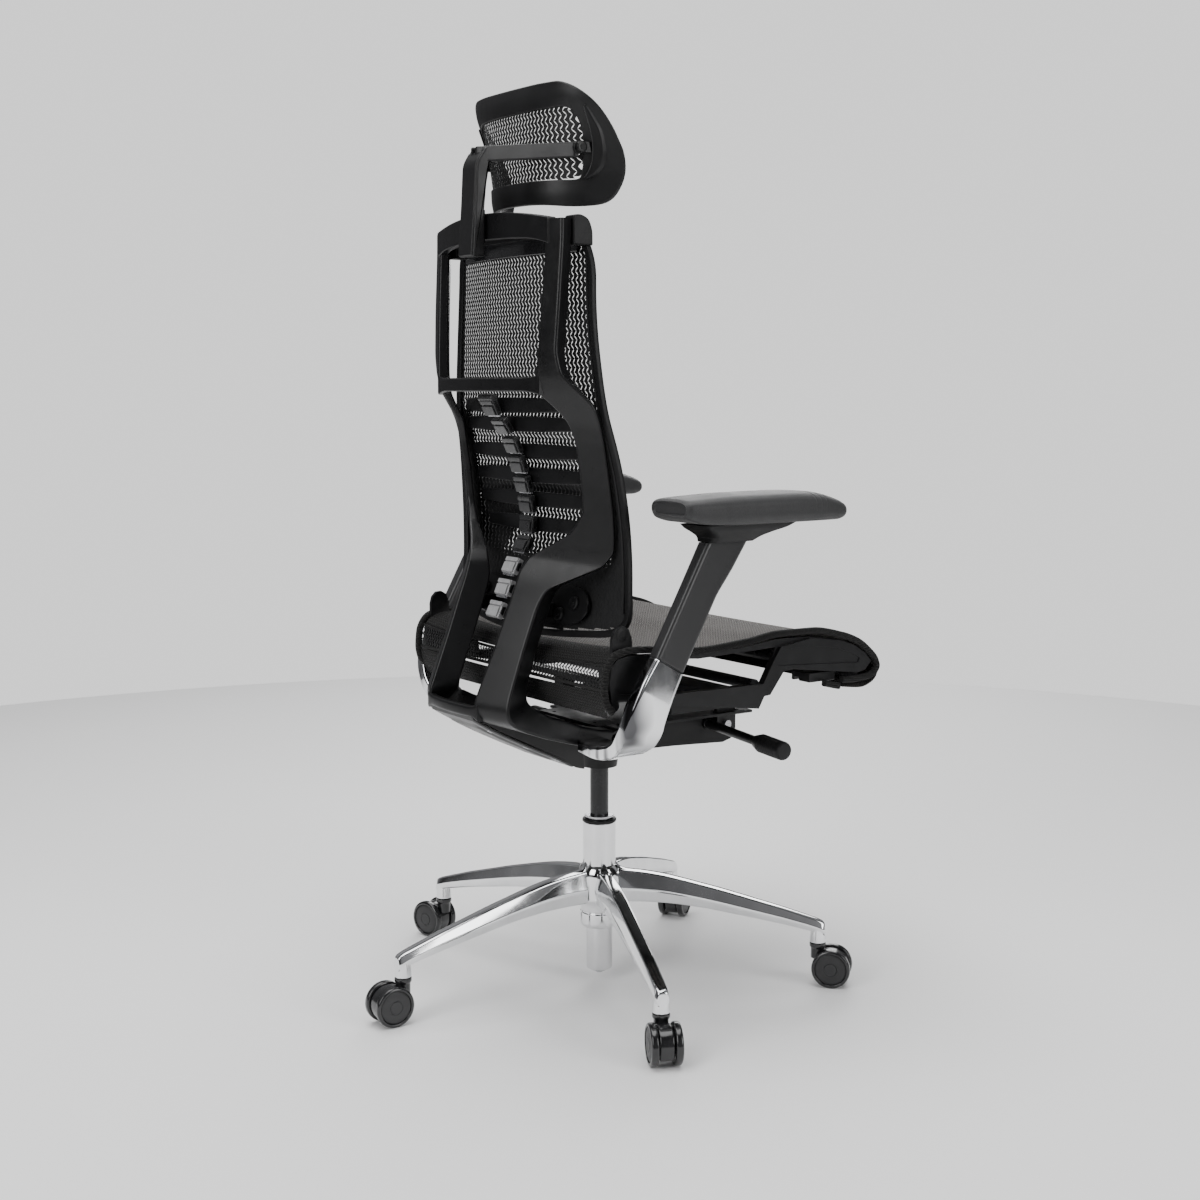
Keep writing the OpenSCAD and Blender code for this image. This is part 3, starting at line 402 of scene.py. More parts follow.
class Piece:
    """Collects faces in millimetres and makes one object of them."""

    def __init__(self):
        self.v, self.f, self.uvs, self.n = [], [], [], 0

    def add(self, verts, faces, uv=None):
        verts = np.asarray(verts, float).reshape(-1, 3)
        self.v.append(verts)
        self.f += [tuple(int(i) + self.n for i in f) for f in faces]
        self.uvs.append(np.zeros((len(verts), 2)) if uv is None else np.asarray(uv, float))
        self.n += len(verts)
        return self

    def loft(self, rings, ring=False, closed=True, caps=True, uv=None):
        n, m = len(rings), len(rings[0])
        f = []
        for i in range(n if ring else n - 1):
            for j in range(m if closed else m - 1):
                k = (i + 1) % n
                f.append((i * m + j, i * m + (j + 1) % m, k * m + (j + 1) % m, k * m + j))
        if caps and not ring and closed:
            f.append(tuple(range(m))[::-1])
            f.append(tuple((n - 1) * m + k for k in range(m)))
        return self.add(np.concatenate([np.asarray(r, float) for r in rings]), f, uv)

    def lathe(self, profile, origin, axis, n=48, closed=False):
        """profile: rows of radius and distance along the axis."""
        a = unit(axis)
        u = unit(np.cross(a, [0, 0, 1] if abs(a[2]) < 0.9 else [1, 0, 0]))
        w = np.cross(a, u)
        t = np.linspace(0, 2 * np.pi, n, endpoint=False)
        rings = [np.asarray(origin) + a * h + r * (np.cos(t)[:, None] * u + np.sin(t)[:, None] * w) for r, h in profile]
        return self.loft(rings, ring=closed, caps=not closed)

    def plate(self, outline, x0, x1, r=1.2, axis=0):
        """Outline in the plane across an axis (0: y, z), made into a plate with rounded rims."""
        P = np.array(outline, float)
        c = P.mean(0)

        def ring(x, inset):
            a, b = np.roll(P, 1, 0), np.roll(P, -1, 0)
            t = (b - a) / np.maximum(np.linalg.norm(b - a, axis=1, keepdims=True), 1e-9)
            area = 0.5 * np.sum(P[:, 0] * np.roll(P[:, 1], -1) - np.roll(P[:, 0], -1) * P[:, 1])
            nrm = np.c_[-t[:, 1], t[:, 0]] * (1 if area > 0 else -1)
            q = P + nrm * inset
            full = np.zeros((len(P), 3))
            others = [k for k in range(3) if k != axis]
            full[:, axis], full[:, others[0]], full[:, others[1]] = x, q[:, 0], q[:, 1]
            return full

        s = 1 if x1 > x0 else -1
        r = min(r, abs(x1 - x0) * 0.45)
        rings = [ring(x0, r), ring(x0 + s * r * 0.3, r * 0.3), ring(x0 + s * r, 0), ring(x1 - s * r, 0), ring(x1 - s * r * 0.3, r * 0.3), ring(x1, r)]
        return self.loft(rings)

    def mirrored(self):
        """The same again on the other side of the chair."""
        v = np.concatenate(self.v)
        uv = np.concatenate(self.uvs)
        return self.add(v * [-1, 1, 1], [tuple(reversed(f)) for f in self.f], uv)

    def make(self, name, mat, body, replaces=(), slot=None, smooth=True, weighted=True, sharp=None, recalc=True):
        me = bpy.data.meshes.new(name)
        me.from_pydata((np.concatenate(self.v) * 0.001).tolist(), [], self.f)
        me.validate()
        uv = np.concatenate(self.uvs)
        layer = me.uv_layers.new(name="flat")
        idx = np.zeros(len(me.loops), np.int32)
        me.loops.foreach_get("vertex_index", idx)
        layer.data.foreach_set("uv", uv[idx].astype(np.float32).ravel())
        if recalc:
            bm = bmesh.new()
            bm.from_mesh(me)
            bmesh.ops.recalc_face_normals(bm, faces=bm.faces)
            bm.to_mesh(me)
            bm.free()
        return finish_piece(name, me, mat, body, replaces, smooth, weighted, sharp)


def finish_piece(name, me, mat, body, replaces, smooth=True, weighted=True, sharp=None):
    if smooth:
        me.polygons.foreach_set("use_smooth", [True] * len(me.polygons))
        if sharp is not None:
            me.set_sharp_from_angle(angle=math.radians(sharp))
    me.update()
    ob = bpy.data.objects.new(name, me)
    scene.collection.objects.link(ob)
    me.materials.clear()
    me.materials.append(M[mat])
    if weighted and smooth:
        w = ob.modifiers.new("normals", "WEIGHTED_NORMAL")
        w.keep_sharp = True
    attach(ob, body)
    if replaces:
        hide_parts(*replaces)
    return ob


def cad_copy(node, mat, width=1.0, angle=28, name=None, seg=2, body=None):
    """A CAD node's shape with its edges broken by a small rounded bevel, as a moulded or machined piece has."""
    src = frame["nodes"][node]
    bm = bmesh.new()
    bm.from_mesh(src.data)
    bmesh.ops.remove_doubles(bm, verts=bm.verts, dist=1e-5)
    bmesh.ops.dissolve_limit(bm, angle_limit=math.radians(1.0), verts=bm.verts, edges=bm.edges)
    if width:
        lim = math.radians(angle)
        edges = [e for e in bm.edges if len(e.link_faces) == 2 and e.calc_face_angle(0) > lim]
        bmesh.ops.bevel(bm, geom=edges, offset=width * 0.001, offset_type="OFFSET", segments=seg, profile=0.5, affect="EDGES", clamp_overlap=True)
    bmesh.ops.triangulate(bm, faces=[f for f in bm.faces if len(f.verts) > 4])
    me = bpy.data.meshes.new(name or node + "_shape")
    bm.to_mesh(me)
    bm.free()
    me.uv_layers.new(name="flat") if not me.uv_layers else None
    return finish_piece(name or node + "_shape", me, mat, body or src["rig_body"], [node], sharp=40)


def rect(o, u, v, a, b, r, seg=3):
    """Rounded rectangle round o: half sizes a along u, b along v."""
    o, u, v = map(np.asarray, (o, u, v))
    return round_poly([o + u * a + v * b, o - u * a + v * b, o - u * a - v * b, o + u * a - v * b], r, seg)


# ------------------------------------------------------------------ shared shape rules (millimetres)
def interp(x, tab):
    tab = np.array(tab, float)
    return np.interp(x, tab[:, 0], tab[:, 1])


BACK_HW = [[560, 221], [600, 220], [698, 217], [780, 210], [860, 197], [919, 187.5], [1001, 177], [1104, 171], [1136, 169]]
BACK_YE = [[560, 104], [600, 103.5], [650, 101.5], [698, 102.5], [780, 109.5], [831, 117.5], [860, 124], [919, 129.5], [1001, 132], [1104, 131], [1136, 131]]
BACK_YM = [[540, 138], [564, 134], [604, 121], [650, 105], [707, 96], [750, 101], [795, 112], [831, 123], [850, 130], [913, 143.5], [1000, 150], [1104, 154], [1136, 155]]


def smooth_table(tab):
    t = np.array(tab, float)
    z = np.linspace(t[0, 0], t[-1, 0], 240)
    return np.c_[z, pchip(t[:, 0], t[:, 1], z)]


HW, YE, YM = smooth_table(BACK_HW), smooth_table(BACK_YE), smooth_table(BACK_YM)


def sheet_y(x, z):
    t = np.minimum(1, np.abs(x) / interp(z, HW))
    a, b = interp(z, YM), interp(z, YE)
    return a + (b - a) * t * t


def low_z(x):
    return 552 + 18 * (x / 226) ** 2


# ------------------------------------------------------------------ base
def leg_piece():
    rows = [[22, 177, 127, 10.5, 14.5], [41, 175, 127, 10, 14.5], [64, 173, 127, 10, 14], [95, 168.5, 126, 10, 14], [125, 162, 123.5, 10, 14], [155, 154.5, 119.5, 9.6, 13.7],
            [186, 146.5, 114, 9.5, 13.5], [216, 138, 108, 9.3, 13.2], [247, 129, 102, 9, 13], [278, 120, 95.5, 8.8, 12.5], [306, 111, 89, 8.5, 12],
            [325, 104.8, 84, 8.3, 11.6], [338, 100.2, 79, 7.8, 11], [345.5, 96, 75, 6.6, 9.6]]
    d = dense(rows, 64, 3)
    p = Piece()
    for i in range(5):
        a = math.radians(160 + 72 * i)
        c, s = math.cos(a), math.sin(a)
        rings = []
        for rho, top, low, w1, w2 in d:
            zm = low + (top - low) * 0.42
            sec = round_poly([[-w1, top], [0, top + 1.1], [w1, top], [w2 + 0.6, zm], [w2 - 2.2, low], [-w2 + 2.2, low], [-w2 - 0.6, zm]],
                             [2.2, 6, 2.2, 3.5, 3, 3, 3.5], 3)
            rings.append(np.array([[rho * c - q[0] * s, rho * s + q[0] * c, q[1]] for q in sec]))
        p.loft(ends(rings, 3, a=False))
        p.lathe([[6.2, 66.2], [11.6, 66.2], [12.3, 66.8], [12.4, 68.5], [11.8, 76], [10.6, 92], [9, 96], [0.5, 97]], [335 * c, 335 * s, 0], [0, 0, 1], 40)
    # hub: stepped collar under the legs, drum between them, flared foot of the column sleeve
    p.lathe([[20.3, 87.3], [25, 87.2], [27, 88.2], [29.2, 91.4], [29.75, 94], [29.75, 108.4], [29.2, 110], [28.1, 110.6], [28, 112.2], [28.6, 113], [28.9, 116], [29.2, 124], [31.5, 128.5],
             [33, 133], [33, 166], [32.6, 171.5], [31.2, 176.6], [29, 180.6], [27, 183.4], [25.9, 184.2], [25.2, 184.2]], [0, 0, 0], [0, 0, 1], 96, closed=True)
    # raised lobes where each leg runs up into the sleeve
    for i in range(5):
        a = math.radians(160 + 72 * i)
        c, s = math.cos(a), math.sin(a)
        rings = []
        for rho, top, w in dense([[24.4, 190.5, 3.2], [26, 187.5, 5.2], [29.5, 182.4, 7.4], [34, 179, 9], [41, 176.6, 9.6], [50, 175.2, 9.4]], 12, 2):
            sec = round_poly([[-w, top - 9], [-w * 0.82, top - 1.6], [0, top], [w * 0.82, top - 1.6], [w, top - 9]], [1, 3, 4, 3, 1], 3)
            rings.append(np.array([[rho * c - q[0] * s, rho * s + q[0] * c, q[1]] for q in sec]))
        p.loft(rings)
    p.make("base_casting", "chrome", "base", ["base_star"], "polished_metal", sharp=38)

    q = Piece()
    q.lathe([[21.6, 184], [25, 184], [25, 248.5], [24.7, 250.2], [23.6, 251], [21.6, 251]], [0, 0, 0], [0, 0, 1], 96, closed=True)
    q.lathe([[8.2, 19.2], [17.8, 19.2], [19.4, 20.2], [19.8, 22], [19.8, 86.5], [20.2, 88], [19, 90], [17.4, 89], [17.2, 24], [8.2, 22.6]], [0, 0, 0], [0, 0, 1], 72, closed=True)
    q.make("column_sleeve", "column", "base", ["column_tube"], "polished_metal", sharp=38)
    r = Piece()
    r.lathe([[23.4, 250.8], [25.4, 250.8], [25.9, 251.3], [25.9, 254.3], [25.3, 254.9], [20, 255.2], [14.4, 256.4], [14.1, 257.6], [14.1, 251]], [0, 0, 0], [0, 0, 1], 72, closed=True)
    r.make("column_cap", "black_dark", "base", ["column_ring", "guide_bush"], "black_plastic", sharp=38)
    w = Piece()
    w.lathe([[14.2, 258], [22.2, 258], [22.6, 258.5], [22.6, 260.4], [22.1, 260.8], [14.2, 260.8]], [0, 0, 0], [0, 0, 1], 72, closed=True)
    w.lathe([[14.2, 256.2], [19, 256.2], [19, 258.1], [14.2, 258.1]], [0, 0, 0], [0, 0, 1], 48, closed=True)
    w.make("column_washer", "steel", "base", (), "steel", sharp=38)


leg_piece()

g = Piece()
g.lathe([[5.2, 118.5], [12.6, 118.5], [13.7, 119.4], [14, 121], [14, 338], [13.85, 340.4], [12.9, 393], [12, 394.2], [4, 394.4], [4, 401.5], [3.2, 402]], [0, 0, 0], [0, 0, 1], 64)
g.make("gas_cylinder_tube", "tube", "chassis", ["gas_cylinder"], "black_tube", sharp=38)
for node in ("stem_sleeves", "thrust_bearing", "retaining_clip", "piston_rod"):
    frame["nodes"][node].data.materials.clear()
    frame["nodes"][node].data.materials.append(M["steel"])

# ------------------------------------------------------------------ castors
TURN = [155, 222, 304, 17, 89]


def castor(i):
    a, t = math.radians(160 + 72 * i), math.radians(TURN[i])
    tip = np.array([335 * math.cos(a), 335 * math.sin(a), 0])
    fwd_, side = np.array([math.cos(t), math.sin(t), 0]), np.array([-math.sin(t), math.cos(t), 0])
    hub = tip + fwd_ * 22 + np.array([0, 0, 29.5])
    name = f"castor_{i + 1}"
    wheels = Piece()
    disc = Piece()
    for s in (-1, 1):
        o, ax = hub + side * s * 11.2, side * s
        # tread and rim lip, then the recessed face with its raised centre
        wheels.lathe([[4.1, 0.2], [25.5, 0.2], [27.6, 0.5], [29.0, 1.5], [29.5, 3.2], [29.5, 7.4], [29.2, 9], [28.3, 10.2], [26.6, 10.9], [25.2, 10.95], [24.3, 10.5], [23.9, 9.6], [23.8, 8.2], [4.1, 8.2]], o, ax, 72)
        disc.lathe([[23.7, 8.4], [23.3, 9.2], [22.3, 9.7], [17, 10.3], [10.5, 10.7], [10, 10.2], [9.4, 10.2], [9, 10.9], [5, 11], [0.4, 11]], o, ax, 64)
    wheels.make(name + "_rims", "black_gloss", name + "_pair", [name + "_wheels"], "castor_nylon", sharp=42)
    disc.make(name + "_discs", "black_disc", name + "_pair", (), "castor_nylon", sharp=42)
    # body between the wheels: hood over the rear half, flat neck up to the stem
    h = Piece()
    rings = []
    for x in (-10.2, -9.4, -7.5, 7.5, 9.4, 10.2):
        k = 1.0 if abs(x) < 8 else (0.975 if abs(x) < 10 else 0.93)
        pts = []
        for ang in np.linspace(-38, 236, 44):
            r = 26.2 * k * (1 + 0.06 * math.exp(-((ang - 128) / 34) ** 2))
            pts.append([r * math.cos(math.radians(ang)), r * math.sin(math.radians(ang))])
        pts.append([-12 * k, -13 * k])
        pts.append([12 * k, -12 * k])
        rings.append(np.array([hub + fwd_ * q[0] + np.array([0, 0, q[1]]) + side * x for q in pts]))
    h.loft(rings)
    h.lathe([[5.6, 42], [10.4, 42], [10.5, 56.4], [11.2, 58], [12.2, 59.6], [12.5, 61.2], [12.5, 64.6], [12, 65.2], [5.6, 65.3]], tip, [0, 0, 1], 48)
    h.make(name + "_body", "black_gloss", name, [name + "_hood"], "castor_nylon", sharp=42)
    ob = frame["nodes"][name + "_pins"]
    ob.data.materials.clear()
    ob.data.materials.append(M["steel"])


for i in range(5):
    castor(i)

# ------------------------------------------------------------------ back frame
FRAME_TAB = [
    [171, 177, 1136, 143, 186.5, 1136, 23, 14, 19], [171, 177.5, 1102, 143, 187, 1102, 23, 14, 19], [169, 182.5, 1016, 139, 192.5, 1016, 23, 14, 19],
    [166, 185.5, 955, 136, 196, 955, 23, 15, 19], [170, 180, 925, 134, 198, 924, 20, 16, 22], [185.5, 162.5, 903.5, 131, 195.5, 902, 14, 15, 28],
    [197, 144, 882, 143, 176, 882, 9, 13, 31], [195.5, 134, 858, 151.5, 157, 860, 7, 12, 31], [195, 126.5, 831, 157, 148.5, 831, 6, 11, 31],
    [196, 119, 785, 157, 141, 785, 6, 11, 31], [198, 113.5, 738, 157, 136, 738, 6, 11, 31], [197, 111, 707, 139, 144, 708, 6, 13, 31],
    [194.5, 110, 681, 107.5, 160.5, 688, 6, 20, 31], [180, 119, 661, 80, 177, 671, 7, 26, 30], [151.5, 142, 646, 71, 186.5, 652, 18, 32, 29],
    [118, 170, 628, 69.5, 193, 632, 34, 38, 27], [112, 181.5, 604, 69, 204, 604, 40, 40, 27], [111, 204, 543, 67, 227.5, 543, 40, 40, 27],
    [113.5, 225.5, 486, 64, 251.5, 486, 42, 40, 27]]


def frame_row(r):
    n = np.array([math.sin(math.radians(r[8])), -math.cos(math.radians(r[8])), 0])
    o, i = np.array([-r[0], r[1], r[2]]), np.array([-r[3], r[4], r[5]])
    return np.concatenate([o, i, i + n * r[7], o + n * r[6]])


def back_frame():
    rows = [frame_row(r) for r in FRAME_TAB]
    # the foot turns forward: rear corners become the underside, front corners the top
    rows += [np.array([-115.5, 233.5, 462, -63, 259.5, 466, -49, 216, 473, -97, 189, 470.5]),
             np.array([-117, 232, 446, -63.5, 255, 447, -58, 210, 468, -106, 189, 465]),
             np.array([-118, 221, 436.5, -66, 236, 436.5, -66, 203, 465, -113, 186, 461.5]),
             np.array([-118.3, 203, 427.5, -73, 205, 427.5, -73, 193, 461.5, -118, 178, 456]),
             np.array([-118.2, 177, 417.5, -79, 177, 417.5, -79, 172, 451.5, -118, 164, 447.5]),
             np.array([-117.6, 137, 405.5, -83, 137, 405.5, -83, 136, 439.5, -117.5, 132, 437]),
             np.array([-117.3, 105, 396.6, -84, 105, 396.6, -84, 105, 426.5, -117, 104, 425.5]),
             np.array([-117, 77, 389.5, -84, 77, 389.5, -84, 77, 418.8, -117, 77, 418.5]),
             np.array([-117, 46, 386.2, -84, 46, 386.2, -84, 46, 413.8, -117, 46, 413.8])]
    rows = np.array(rows)
    s = np.r_[0, np.cumsum(np.linalg.norm(np.diff(rows, axis=0), axis=1))]
    at = np.linspace(0, s[-1], 300)
    d = np.stack([np.interp(at, s, rows[:, k]) for k in range(12)], 1)
    for _ in range(7):
        d[1:-1] = 0.5 * d[1:-1] + 0.25 * (d[:-2] + d[2:])
    rings = [round_poly([r[0:3], r[3:6], r[6:9], r[9:12]], [4.6, 4.2, 3.4, 5], 4) for r in d]
    p = Piece()
    p.loft(ends(rings, 3.5))
    # boss round the recline shaft
    p.lathe([[7.2, 0], [14.6, 0], [16.2, 0.8], [16.8, 2.4], [16.8, 30.6], [16.2, 32.2], [14.6, 33], [7.2, 33]], [-117, 45, 400], [1, 0, 0], 48, closed=True)
    p.mirrored()

    def bar(xe, ye, ym, z0, z1, dep, a0, a1, r, k=26):
        out = []
        for x in np.linspace(-xe, xe, k * 2 + 1):
            t = 1 - (x / xe) ** 2
            y = ye + (ym - ye) * t
            e = max(0, (abs(x) - xe * 0.72) / (xe * 0.28)) ** 2
            out.append(round_poly([[x, y, z0 + a0 * t - 5 * e], [x, y, z1 + a1 * t + (0 if a1 else 4 * e)], [x, y - dep, z1 + a1 * t + (0 if a1 else 4 * e)], [x, y - dep, z0 + a0 * t - 5 * e]], r, 3))
        return out

    p.loft(bar(150, 187.5, 202, 1104.5, 1135.3, 14, 8, 14, 3))
    p.loft(bar(140, 195, 212, 902, 921.5, 12, 0, 0, 3))
    p.loft(bar(70, 256.5, 264, 447.6, 463, 12, 0, 0, 4))
    p.make("back_frame_shell", "black", "back", ["back_frame"], "black_plastic", sharp=44)


back_frame()


def back_cover():
    """Belly pan between the foot arms: ribbed, with a raised middle and screw wells."""
    line = dense([[256, 441.5], [232, 427], [212, 416], [162, 391], [111, 367], [88, 355]], 40, 2)
    p = Piece()
    rings = []
    for x in np.linspace(-61.5, 61.5, 41):
        rise = 3.2 * (1 / (1 + math.exp((abs(x) - 40) / 1.6)))
        edge = 2.2 * max(0, (abs(x) - 56) / 5.5) ** 2
        top = [[x, y + 2, z + 6.2 - edge * 0.5] for y, z in line]
        low = [[x, y, z + edge - 0.0 - (rise if 0.12 < i / 39 < 0.86 else rise * max(0, 1 - abs(i / 39 - 0.5) * 2.1))] for i, (y, z) in enumerate(line)]
        rings.append(np.array(low + top[::-1]))
    p.loft(rings)
    wall = round_poly([[68, 350], [84, 354.5], [108, 370], [162, 397], [212, 422], [244, 440.5], [240, 443], [230, 440], [205, 433], [177, 423], [137, 411], [105, 402], [90, 396], [72, 386]], 3, 2)
    p.plate(wall, -62, -57.5, 1.2)
    p.plate(wall, 57.5, 62, 1.2)
    for x in (-38, -13, 13, 38):
        p.plate(round_poly([[90, 360], [162, 396], [212, 421], [222, 428], [200, 424], [150, 402], [100, 379], [90, 372]], 2, 2), x - 1.4, x + 1.4, 0.6)
    p.make("belly_pan", "grey", "back", ["back_cover"], "grey_plastic", sharp=40)
    s = Piece()
    for x, k in ((-48, 8), (48, 8), (-48, 22), (48, 22), (-48, 34), (48, 34)):
        y, z = line[k]
        tn = unit(np.r_[0, line[k + 1] - line[k - 1]])
        nn = np.cross([1, 0, 0], tn)
        nn = nn if nn[2] < 0 else -nn
        s.lathe([[0.3, -0.6], [2.2, -0.6], [2.3, 0.4], [3.6, 0.9], [4.4, 0.6], [4.6, -1.2], [0.3, -1.2]], np.array([x, y, z]) - nn * 0.2, nn, 24)
    s.make("belly_pan_screws", "steel", "back", (), "steel", sharp=40)


back_cover()


# ------------------------------------------------------------------ open mesh of the back
def open_mesh(xs_of, ys_of, z0_of, z1_of, lines, pitch, period, width, body, name, replaces, lift=0.0, amp=None, cross=True, tie=0.3):
    """Zigzag strands side by side, tied by thin cross threads at their turns."""
    amp = pitch * 0.33 if amp is None else amp
    p = Piece()
    area = 0.0
    zmin = min(z0_of(j) for j in lines)
    zmax = max(z1_of(j) for j in lines)
    n = int((zmax - zmin) / period * 4)
    zz = zmin + np.arange(n + 1) * period / 4
    for j in lines:
        lo, hi = z0_of(j), z1_of(j)
        z = zz[(zz >= lo - 1e-6) & (zz <= hi + 1e-6)]
        if len(z) < 3:
            continue
        ph = ((z - zmin) / period) % 1.0
        tri = np.where(ph < 0.5, 4 * ph - 1, 3 - 4 * ph)
        tri = np.clip(tri * 1.15, -1, 1)
        cx = xs_of(j, z) + amp * tri
        wz = (width(z, j) if callable(width) else width) * (0.5 + 0.05 * np.cos(2 * np.pi * ph * 2))
        cols = []
        for off, bulge in ((-1, 0), (0, 0.55), (1, 0)):
            x = cx + off * wz
            cols.append(np.c_[x, ys_of(x, z) + bulge + lift, z])
        k = len(z)
        verts = np.concatenate(cols)
        f = []
        for c in (0, 1):
            for i in range(k - 1):
                f.append((c * k + i, c * k + i + 1, (c + 1) * k + i + 1, (c + 1) * k + i))
        p.add(verts, f)
        area += float(np.mean(wz)) * 2 * (z[-1] - z[0])
    if cross:
        for m in range(1, int((zmax - zmin) / period * 2)):
            z = zmin + m * period / 2
            on = [j for j in lines if z0_of(j) < z < z1_of(j)]
            if len(on) < 2:
                continue
            # thread runs through neighbouring strands
            x = np.array([xs_of(j, np.array([z]))[0] for j in on])
            x = np.interp(np.linspace(0, len(x) - 1, 2 * len(x) - 1), np.arange(len(x)), x)
            a = np.c_[x, ys_of(x, z) + 0.2 + lift, np.full(len(x), z - tie)]
            b = np.c_[x, ys_of(x, z) + 0.2 + lift, np.full(len(x), z + tie)]
            k = len(x)
            p.add(np.concatenate([a, b]), [(i, i + 1, k + i + 1, k + i) for i in range(k - 1)])
            area += 2 * tie * (x[-1] - x[0]) * 0.3
    ob = p.make(name, "strand", body, replaces, "back_weave", weighted=False, recalc=False)
    return ob, area * 1e-6


PITCH = 7.4
half = 21


def back_x(j, z):
    return j / half * (interp(z, HW) - 7.5)


def back_width(z, j):
    """Strands fill five sixths of their spacing, and all of it low down and beside the frame's elbows, so the mesh
    shows no gaps there.
    """
    fill = interp(z, [[560, 1.13], [655, 1.13], [672, 0.9], [720, 0.86], [800, 0.86], [1140, 0.88]])
    if abs(j) >= half - 3:
        fill = np.maximum(fill, interp(z, [[640, 1.13], [868, 1.13], [880, 0.84]]))
    return fill * (interp(z, HW) - 7.5) / half


ob, area = open_mesh(back_x, sheet_y, lambda j: float(low_z(j / half * 216) + 11), lambda j: 1104.0, range(-half, half + 1), PITCH, 12.4, back_width,
                     "back", "back_open_mesh", ["back_mesh"])
max(area, 0.072)


def mesh_rim():
    """Moulded edge the mesh is clamped in, its top rail, and the blocks that hold it off the frame."""
    zs = np.linspace(588, 1100, 60)
    right = np.c_[-interp(zs, HW), interp(zs, YE), zs]
    left = right[::-1] * [-1, 1, 1]
    xt = np.linspace(-150, 150, 40)
    top = np.c_[xt, sheet_y(xt, 1117), np.full(40, 1117)]
    xb = np.linspace(206, -206, 50)
    bot = np.c_[xb, sheet_y(xb, low_z(xb) + 6), low_z(xb) + 6]
    path = smooth_closed(np.concatenate([right[::4], top[::6], left[::4], bot[::6]]), 260, 6)
    p = Piece()
    rings = []
    n = len(path)
    for i in range(n):
        t = unit(path[(i + 1) % n] - path[i - 1])
        u = unit(np.cross([0, 1, 0], t))
        v = unit(np.cross(t, u))
        rings.append(rect(path[i], u, v, 5.2, 4.2, 2.4, 2))
    p.loft(rings, ring=True)
    # top rail, glossier than the rest
    rail = Piece()
    rings = []
    for x in np.linspace(-149, 149, 50):
        y = float(sheet_y(x, 1116))
        rings.append(round_poly([[x, y + 3.6, 1090.5], [x, y + 3.6, 1114], [x, y - 3.6, 1114], [x, y - 3.6, 1090.5]], 2.6, 3))
    rail.loft(rings)
    rail.make("mesh_top_rail", "black_gloss", "back", (), "black_plastic", sharp=44)
    side = round_poly([[158, 1098], [158, 1137.8], [146, 1139.2], [133.5, 1134], [127.2, 1119], [127, 1098]], [2, 3, 10, 10, 10, 2], 4)
    p.plate(side, -170.5, -147, 2)
    p.plate(side, 147, 170.5, 2)
    p.make("mesh_rim_shell", "black_dark", "back", ["mesh_rim"], "black_plastic", sharp=44)
    # thin welt along the sides where the mesh goes in
    w = Piece()
    for s in (-1, 1):
        rings = []
        z = np.linspace(600, 1096, 90)
        c = np.c_[s * (interp(z, HW) - 7.6), interp(z, YE) + 3.2, z]
        for i in range(len(z)):
            rings.append(rect(c[i], [1, 0, 0], [0, 1, 0], 2.2, 1.3, 1, 2))
        w.loft(rings)
    w.make("mesh_welt", "strand", "back", (), "back_weave", sharp=50)


mesh_rim()

# ------------------------------------------------------------------ spine
SPINE = [[548, 203], [581, 191], [614, 175], [651, 160], [680, 142], [693, 134], [727, 131], [761, 138], [795, 147.5], [827, 158.5], [854, 175], [879, 194], [900, 199]]
LINK_Z = [880, 853, 826, 798, 769, 740, 711, 682, 651, 620, 589]
RIBS = [[883, 150], [856, 155], [817, 157], [782, 157], [747, 154], [711, 140]]


